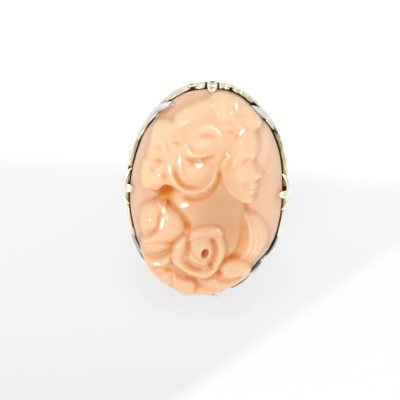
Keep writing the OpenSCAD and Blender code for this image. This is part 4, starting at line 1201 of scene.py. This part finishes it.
def wallPatch(middle, centre, outline, hole, rim):
    # a piece of the wall with one hole; outline and hole are points along the oval and up
    steps, around = wall["steps"], len(outline)
    points, cutsAndShade, faces = [], [], []
    for outside in (True, False):
        for share, lift in steps:
            p = hole + (outline - hole) * share
            z = centre + p[:, 1]
            offset = wallOffset(z) + (lift * rim if outside else -wall["thick"])
            points.append(alongOval(middle + p[:, 0], offset, z))
            cutAndShade = (wall["shadeOutside"] if share > 0.4 else 0.0) if outside else wall["shadeInside"]
            cutsAndShade.append(np.full(around, cutAndShade))
    n = len(steps)
    order = list(range(n)) + list(range(2 * n - 1, n - 1, -1))
    for i in range(2 * n):
        a, b = order[i] * around, order[(i + 1) % (2 * n)] * around
        for k in range(around):
            after = (k + 1) % around
            faces.append((a + k, a + after, b + after, b + k))
    return np.concatenate(points), faces, np.concatenate(cutsAndShade)


def archPatch(middle, half, squeeze, inset, plainStart, plainStop):
    # one arch of the wall, with corners left out for the eyelets beside it
    h, foot = wall["half"], wall["eyeletFoot"]
    right = [(half, foot), (half - inset, foot), (half - inset, h)]
    left = [(inset - half, h), (inset - half, foot), (-half, foot)]
    corners = [(-half, -h), (half, -h)]
    corners += [(half, foot), (half, h)] if plainStop else right
    corners += [(-half, h), (-half, foot)] if plainStart else left
    outline = outlinePoints(corners)
    way = outline / np.hypot(outline[:, 0], outline[:, 1])[:, None]
    # straight sides, a flat foot and a rounded top
    out = np.abs(way[:, 0]) ** 0.7 * np.sign(way[:, 0])
    up = np.where(way[:, 1] > 0, np.abs(way[:, 1]) ** 0.9, -np.abs(way[:, 1]) ** 0.55)
    hole = np.stack([wall["archHalf"] / squeeze * out, wall["archRise"] * up], -1)
    return wallPatch(middle, wall["middle"], outline, hole, wall["archRim"])


def eyeletPatch(s, squeeze, inset):
    low, high = wall["eyeletFoot"] - wall["eyeletAt"], wall["half"] - wall["eyeletAt"]
    outline = outlinePoints([(-inset, low), (0, low), (inset, low), (inset, high), (-inset, high)])
    way = outline / np.hypot(outline[:, 0] * squeeze, outline[:, 1])[:, None]
    centre = wall["middle"] + wall["eyeletAt"]
    return wallPatch(s, centre, outline, wall["eyelet"] * way, wall["eyeletRim"])


def basketCells(material):
    # the pierced wall: eight arches on each side and four round each end, an eyelet between each two
    end = quarter - sideRun
    joints = [sideRun * i / 4 for i in range(5)] + [sideRun + end / 2, quarter]
    joints = joints[:-1] + [2 * quarter - s for s in joints[:0:-1]]
    joints += [2 * quarter + s for s in joints]
    cells = len(joints)
    plainRibs = (4, 8, 16, 20)      # where a side meets an end
    parts = []
    for i, start in enumerate(joints):
        stop = joints[i + 1] if i + 1 < cells else whole
        half = (stop - start) / 2
        radius = endR if sideRun < (start + stop) / 2 % (2 * quarter) < 2 * quarter - sideRun else sideR
        squeeze = (radius - wall["inwards"]) / radius      # the wall's middle lies that much nearer
        inset = wall["eyeletSide"] / squeeze
        plainStop = (i + 1) % cells in plainRibs
        parts.append(archPatch((start + stop) / 2, half, squeeze, inset, i in plainRibs, plainStop))
        if i not in plainRibs:
            parts.append(eyeletPatch(start, squeeze, inset))
    return joined("basketPierced", parts, material, 50)


footBand = {
    "stations": 480, "clear": 0.25, "inwards": 2.8, "lowest": 7.3,
    "offset": -2.42, "flare": 0.3, "flareFrom": 9.38,
    # upper edge: offset, height, and how dark, as painted shade
    "upper": (
        (-2.95, 9.6, 0.2), (-2.4, 9.6, 0.0), (-2.3, 9.53, 0.0), (-2.3, 9.45, 0.0), (-2.42, 9.36, 0.25)),
    # lower edge, a rounded bead: inwards, up, and how dark, as painted shade
    "lower": (
        (0.0, 0.3, 0.2), (-0.08, 0.24, 0.0), (-0.1, 0.14, 0.0), (-0.04, 0.04, 0.0), (0.06, 0.0, 0.1),
        (0.5, 0.0, 0.3), (0.6, 0.08, 0.5)),
    # inside face: offset, height, and painted shade, darker inside
    "inside": (-3.2, 9.4, 0.8),
}


def basketFoot(material):
    # the band under the arches, arched over the finger
    s = np.arange(footBand["stations"]) * whole / footBand["stations"]
    p, out = onOval(s)
    passage = (fingerR + footBand["clear"]) ** 2 - (p[:, 0] - footBand["inwards"] * out[:, 0]) ** 2
    low = np.sqrt(np.maximum(passage, footBand["lowest"] ** 2))
    lowOffset = footBand["offset"] + (low - footBand["flareFrom"]) * footBand["flare"]
    rows = [alongOval(s, offset, z) for offset, z, _ in footBand["upper"]]
    rows += [alongOval(s, lowOffset - inward, low + up) for inward, up, _ in footBand["lower"]]
    rows.append(alongOval(s, *footBand["inside"][:2]))
    cutsAndShade = [row[2] for row in (*footBand["upper"], *footBand["lower"], footBand["inside"])]
    return ovalBand("basketFoot", rows, cutsAndShade, material, 50)


shank = {
    "edge": 9.6, "crown": 9.92, "shoulder": 35.0, "top": 57.5, "stations": 180,
    "backHalf": 1.2, "backEdge": 10.09, "frontHalf": 3.0, "sideBow": 80.0, "domeRise": 0.4,
    "meets": (6.55, 9.65),                      # where its edge runs into the basket
    "shoulderRise": 0.3, "leastRise": 0.05, "fadesBy": 75,
    "outside": 17, "inside": (0.97, 0.5, 0.0, -0.5, -0.97), "comfort": 0.03,
    "shadeOutside": 0.34, "shadeInside": 0.36,
}


def arcCentre(start, end, radius):
    # of the arc with that radius, to the right of the way from start to end
    chord = end - start
    length = np.hypot(*chord)
    out = np.array([chord[1], -chord[0]]) / length
    return (start + end) / 2 + out * math.sqrt(radius**2 - length**2 / 4)


def shankBand(material):
    # narrow and domed behind the finger, wide at the shoulders, where its edge sweeps out to the basket
    back = np.array([shank["backHalf"], -shank["backEdge"]])
    front = np.array([shank["frontHalf"], fingerR])
    bowCentre = arcCentre(back, front, shank["sideBow"])
    domeR = (shank["frontHalf"] ** 2 + shank["domeRise"] ** 2) / (2 * shank["domeRise"])
    shoulder = math.radians(shank["shoulder"])
    leave = np.array([math.cos(shoulder), math.sin(shoulder)])
    reach = np.array(shank["meets"])
    r0 = shank["edge"] + 0.1
    sweepR = (reach @ reach + r0 * r0 - 2 * r0 * (reach @ leave)) / (2 * (reach @ leave) - 2 * r0)
    sweepCentre = leave * (r0 + sweepR)
    rows, cutsAndShade = [], []
    for angle in np.linspace(shank["top"], -180 - shank["top"], shank["stations"]):
        a = math.radians(angle)
        ray = np.array([abs(math.cos(a)), math.sin(a)])
        half = bowCentre[0] - math.sqrt(shank["sideBow"] ** 2 - (fingerR * ray[1] - bowCentre[1]) ** 2)
        crown = shank["crown"]
        edge = crown - domeR + math.sqrt(domeR**2 - half**2)
        if ray[1] > leave[1]:
            b = ray @ sweepCentre
            edge = b - math.sqrt(max(b * b - sweepCentre @ sweepCentre + sweepR**2, 0))
            rise = shank["shoulderRise"] * (1 - (angle if angle > 0 else -180 - angle) / shank["fadesBy"])
            crown = edge + max(shank["leastRise"], rise)
        ring = []
        for t in np.linspace(-1, 1, shank["outside"]):
            ring.append((edge + (crown - edge) * (1 - t * t), t * half * 0.985))
            shade = shank["shadeOutside"] * smoothStep((abs(t) - 0.4) / 0.45)
            cutsAndShade.append(0.0 if abs(t) > 0.99 else shade)
        for t in shank["inside"]:
            ring.append((fingerR + shank["comfort"] * t * t, t * half * 0.97))
            cutsAndShade.append(0.1 if abs(t) > 0.9 else shank["shadeInside"])
        rows += [(radius * math.cos(a), y, radius * math.sin(a)) for radius, y in ring]
    sides = shank["outside"] + len(shank["inside"])
    faces = gridFaces(shank["stations"], sides, False, True) + capFaces(shank["stations"], sides)
    return joined("shankBand", [(np.array(rows), faces, np.array(cutsAndShade))], material, 40)


fleur = {
    "places": (("East", 0.45), ("North", quarter + 0.04), ("West", 2 * quarter - 0.08)),
    # stations: t along the rim, offset, height, half width, thickness, hollow
    "claw": {
        "East": (
            (0, 0.72, 12.9, 0.16, 0.3, 0), (0, 0.86, 13.4, 0.36, 0.34, 0), (0, 0.76, 13.9, 0.52, 0.34, 0.0),
            (0, 0.5, 14.18, 0.52, 0.36, 0.02), (0, 0.15, 14.32, 0.46, 0.36, 0.05),
            (0, -0.15, 14.3, 0.36, 0.3, 0.05), (0, -0.42, 14.16, 0.12, 0.16, 0)),
        "North": (
            (0, 0.6, 12.9, 0.16, 0.3, 0), (0, 0.78, 13.4, 0.44, 0.34, 0.05),
            (0, 0.74, 13.85, 0.58, 0.34, 0.085), (0, 0.5, 14.15, 0.6, 0.34, 0.095),
            (0, 0.18, 14.3, 0.54, 0.32, 0.085), (0, -0.1, 14.28, 0.36, 0.26, 0.05),
            (0, -0.34, 14.16, 0.09, 0.14, 0)),
        "West": (
            (0, 0.62, 12.9, 0.16, 0.3, 0), (0, 0.8, 13.4, 0.42, 0.34, 0), (0, 0.72, 13.9, 0.6, 0.34, 0.0),
            (0, 0.42, 14.2, 0.58, 0.36, 0.02), (0, 0.1, 14.32, 0.5, 0.36, 0.03),
            (0, -0.18, 14.28, 0.4, 0.3, 0.02), (0, -0.38, 14.14, 0.15, 0.16, 0))},
    "petal": (
        (0.3, 0.62, 13.9, 0.16, 0.26, 0), (0.65, 0.68, 14.02, 0.2, 0.3, 0.02),
        (1.1, 0.68, 14.04, 0.22, 0.3, 0.03), (1.55, 0.56, 14.02, 0.2, 0.28, 0.03),
        (1.95, 0.34, 13.98, 0.15, 0.22, 0), (2.2, 0.12, 13.94, 0.07, 0.14, 0)),
    "upperPetal": 1.1, "lowerPetal": 0.88, "petalLean": 0.3,       # lengths by the table above
    "footClaw": (
        (0, 0.3, 12.2, 0.2, 0.22, 0), (0, 0.25, 12.6, 0.4, 0.24, 0.03), (0, 0.2, 13.0, 0.45, 0.22, 0.03),
        (0, 0.15, 13.3, 0.2, 0.12, 0)),
    "footPetalLean": 0.8,
    "footPetal": (
        (0.35, 0.2, 12.8, 0.14, 0.2, 0), (0.9, 0.45, 12.7, 0.22, 0.26, 0.03),
        (1.5, 0.8, 12.55, 0.22, 0.26, 0.04), (1.95, 1.04, 12.3, 0.15, 0.22, 0.02),
        (2.1, 1.1, 12.08, 0.06, 0.12, 0)),
}


def fleurProngs(yellowGold, whiteGold):
    # a claw over the stone's edge between two petals that curl in along the rim
    for name, s0 in fleur["places"]:
        parts = [bladeOn(s0, fleur["claw"][name], 0.0)]
        for flip in ((1, -1) if name != "North" else ()):
            upper = flip == (1 if name == "East" else -1)
            reach = fleur["upperPetal"] if upper else fleur["lowerPetal"]
            petal = [(t * reach, *rest) for t, *rest in fleur["petal"]]
            parts.append(bladeOn(s0, petal, fleur["petalLean"], flip))
        joined("fleurProng" + name, parts, yellowGold)
    # the one at the foot sits low, under the carving, and has no painted shade, so it is bright all over
    parts = [bladeOn(3 * quarter, fleur["footClaw"], 0.0)]
    lean = fleur["footPetalLean"]
    parts += [bladeOn(3 * quarter, fleur["footPetal"], lean, flip) for flip in (1, -1)]
    parts = [(points, faces, 0 * cutsAndShade) for points, faces, cutsAndShade in parts]
    joined("fleurProngSouth", parts, whiteGold)


leafProng = {
    # the fork takes painted shade too
    "leafLean": 0.4, "forkLean": 0.3, "forkShade": 0.5,
    "pearl": 0.17, "pearlAt": (0.12, -0.06, 0.03),      # radius, and its place past the fork's end
    # name, start along the rim, side, how much shade is painted on it, then the stations of the leaf and of
    # its fork
    "places": (
        ("NorthWest", 24.95, -1, 0.12, (
            (0, 0.74, 13.45, 0.06, 0.14, 0), (0.5, 0.7, 13.75, 0.2, 0.26, 0.02),
            (1.2, 0.58, 14.0, 0.29, 0.3, 0.05), (1.9, 0.42, 14.15, 0.31, 0.3, 0.05),
            (2.5, 0.22, 14.22, 0.24, 0.26, 0.02), (2.95, 0.06, 14.24, 0.08, 0.12, 0)), (
            (1.0, 0.3, 13.95, 0.1, 0.2, 0), (1.6, 0.15, 14.12, 0.15, 0.22, 0.02),
            (2.2, 0.0, 14.22, 0.14, 0.2, 0.02), (2.75, -0.14, 14.26, 0.08, 0.16, 0))),
        ("NorthEast", 9.0, 1, 0.0, (
            (0, 0.86, 13.3, 0.06, 0.14, 0), (0.5, 0.82, 13.65, 0.26, 0.28, 0.02),
            (1.2, 0.68, 13.98, 0.4, 0.32, 0.04), (1.9, 0.48, 14.15, 0.38, 0.3, 0.04),
            (2.5, 0.32, 14.22, 0.24, 0.26, 0.02), (3.0, 0.2, 14.22, 0.06, 0.12, 0)), (
            (1.0, 0.34, 13.95, 0.12, 0.2, 0), (1.6, 0.16, 14.15, 0.22, 0.26, 0.02),
            (2.2, 0.0, 14.26, 0.17, 0.22, 0.02), (2.7, -0.1, 14.28, 0.08, 0.16, 0))),
        ("SouthWest", 39.2, 1, 0.5, (
            (0, 0.42, 13.6, 0.06, 0.14, 0), (0.6, 0.45, 13.78, 0.2, 0.26, 0.02),
            (1.5, 0.42, 13.85, 0.27, 0.28, 0.04), (2.4, 0.34, 13.9, 0.2, 0.24, 0.02),
            (3.1, 0.2, 13.9, 0.06, 0.12, 0)), None),
        ("SouthEast", 57.3, 1, 0.4, (
            (0, 0.1, 13.75, 0.06, 0.12, 0), (0.5, 0.22, 13.82, 0.16, 0.22, 0.02),
            (1.1, 0.32, 13.82, 0.2, 0.24, 0.03), (1.7, 0.36, 13.75, 0.15, 0.22, 0.02),
            (2.2, 0.38, 13.6, 0.06, 0.14, 0)), None)),
}


def leafProngs(material):
    # the two at the far end are forked, and the fork ends in a pearl
    for name, s0, flip, shadeTone, leaf, fork in leafProng["places"]:
        parts = [bladeOn(s0, leaf, leafProng["leafLean"], flip, shadeTone)]
        if fork:
            t, offset, z = np.add(fork[-1][:3], leafProng["pearlAt"])
            parts.append(bladeOn(s0, fork, leafProng["forkLean"], flip, leafProng["forkShade"]))
            parts.append(beadAt(s0 + flip * t, offset, z, leafProng["pearl"]))
        joined("leafProng" + name, parts, material)


floorPlate = {
    "size": 1.6, "cells": 24, "near": (0.60, 0.605, 0.61),
    # painted light: how it brightens, away from the camera or along the slant, from, to, colour
    "slant": (0.73, -0.684, 0),
    "paintedLightAndShade": (
        ("away", -0.028, -0.012, (0.645, 0.65, 0.65)), ("away", -0.012, 0.006, (0.665, 0.672, 0.67)),
        ("slant", 0.0165, 0.0195, (0.73, 0.735, 0.735)), ("away", 0.0075, 0.0145, (0.80, 0.80, 0.80))),
    "sockets": {"Emission Strength": 1.0, "Base Color": (0.25, 0.25, 0.25, 1), "Roughness": 0.7},
}


def floorMaterial():
    # white plate that glows, with painted light: brighter far away and to the right in front
    material, tree, shader = newMaterial("whitePlate")
    place = tree.nodes.new("ShaderNodeTexCoord")
    split = tree.nodes.new("ShaderNodeSeparateXYZ")
    tree.links.new(place.outputs["Object"], split.inputs[0])
    slant = tree.nodes.new("ShaderNodeVectorMath")
    slant.operation = "DOT_PRODUCT"
    tree.links.new(place.outputs["Object"], slant.inputs[0])
    slant.inputs[1].default_value = floorPlate["slant"]
    ways = {"away": split.outputs[1], "slant": slant.outputs["Value"]}
    paintedLightAndShade = floorPlate["near"]
    for way, low, high, colour in floorPlate["paintedLightAndShade"]:
        paintedLightAndShade = mixColour(tree, ranged(tree, ways[way], low, high), paintedLightAndShade, colour)
    tree.links.new(paintedLightAndShade, shader.inputs["Emission Color"])
    setSockets(shader, floorPlate["sockets"])
    return material


def stage(material):
    n, size = floorPlate["cells"], floorPlate["size"]
    ticks = [size * (i / n - 0.5) for i in range(n + 1)]
    points = [(x, y, 0.0) for y in ticks for x in ticks]
    corners = [j * (n + 1) + i for j in range(n) for i in range(n)]
    mesh = bpy.data.meshes.new("floorBoard")
    mesh.from_pydata(points, [], [(k, k + 1, k + n + 2, k + n + 1) for k in corners])
    board = bpy.data.objects.new("floorBoard", mesh)
    bpy.context.scene.collection.objects.link(board)
    mesh.materials.append(material)


lamps = {
    "room": (1.0, 1.0, 1.0, 1), "roomStrength": 0.78,
    "above": (-0.03, 0.03, 0.42), "aboveAt": (0, 0, 0.012), "aboveSize": 0.05, "abovePower": 0.14,
    "front": (-0.288, -0.067, 0.955), "frontAway": 0.4, "frontSize": 0.1, "frontPower": 0.38,
}


def softLight(name, place, target, size, power):
    data = bpy.data.lights.new(name, "AREA")
    data.shape = "RECTANGLE"
    data.size = size
    data.size_y = size
    data.energy = power
    lamp = bpy.data.objects.new(name, data)
    lamp.location = place
    lamp.rotation_mode = "QUATERNION"
    lamp.rotation_quaternion = (Vector(target) - Vector(place)).to_track_quat("-Z", "Y")
    bpy.context.scene.collection.objects.link(lamp)


def light():
    world = bpy.data.worlds.new("paleRoom")
    bpy.context.scene.world = world
    world.use_nodes = True
    room = world.node_tree.nodes["Background"]
    room.inputs[0].default_value = lamps["room"]
    room.inputs[1].default_value = lamps["roomStrength"]
    softLight("lampAbove", lamps["above"], lamps["aboveAt"], lamps["aboveSize"], lamps["abovePower"])
    # a small bright one in front, for the glints along the carving's crests
    sideways, along, out = lamps["front"]
    way = out * outwards + along * alongFinger + sideways * across
    front = hub + lamps["frontAway"] * way
    softLight("lampFront", tuple(front), tuple(hub), lamps["frontSize"], lamps["frontPower"])
    bpy.context.scene.view_settings.view_transform = "Standard"
    bpy.context.scene.view_settings.look = "None"


view = {
    "tilt": 15.0, "roll": 3.5,              # degrees
    "distance": 280.0, "scale": 0.1185,     # millimetres, and millimetres to a pixel of the photograph
    # the stone's middle, so many pixels right of the picture's middle and above it
    "aimZ": 14.0, "aimPixels": (6.0, 7.0),
    "pixels": 400, "sensor": 36, "clip": (0.01, 10),
}


def camera():
    tilt, roll = math.radians(view["tilt"]), math.radians(view["roll"])
    towards = alongFinger * math.sin(tilt) + outwards * math.cos(tilt)
    upright = alongFinger * math.cos(tilt) - outwards * math.sin(tilt)
    right = across * math.cos(roll) + upright * math.sin(roll)
    up = -across * math.sin(roll) + upright * math.cos(roll)
    aimX, aimY = view["aimPixels"]
    shift = mm * view["scale"] * (aimX * right + aimY * up)
    middle = hub + mm * view["aimZ"] * outwards - shift
    data = bpy.data.cameras.new("camera")
    data.sensor_width = view["sensor"]
    data.lens = view["sensor"] * view["distance"] / (view["pixels"] * view["scale"])
    data.clip_start, data.clip_end = view["clip"]
    eye = bpy.data.objects.new("camera", data)
    place = middle + mm * view["distance"] * towards
    rows = [[right[i], up[i], towards[i], place[i]] for i in range(3)]
    eye.matrix_world = Matrix(rows + [[0, 0, 0, 1]])
    bpy.context.scene.collection.objects.link(eye)
    bpy.context.scene.camera = eye


camera()
light()
stage(floorMaterial())
print("stage set")
cameo(coralMaterial())
print("cameo carved")
yellowGold = goldMaterial("paleYellowGold", gold["yellow"], gold["yellowShade"], gold["yellowRough"])
whiteGold = goldMaterial("whiteGold", gold["white"], gold["whiteShade"], gold["whiteRough"], brown=False)
rimCollar(yellowGold)
rimLeaves(yellowGold, whiteGold)
seatLedge(whiteGold)
print("rim made")
basketFoot(whiteGold)
basketCells(whiteGold)
print("basket pierced")
shankBand(whiteGold)
print("shank made")
fleurProngs(yellowGold, whiteGold)
leafProngs(whiteGold)
shadowLines(yellowGold)
print("prongs set")
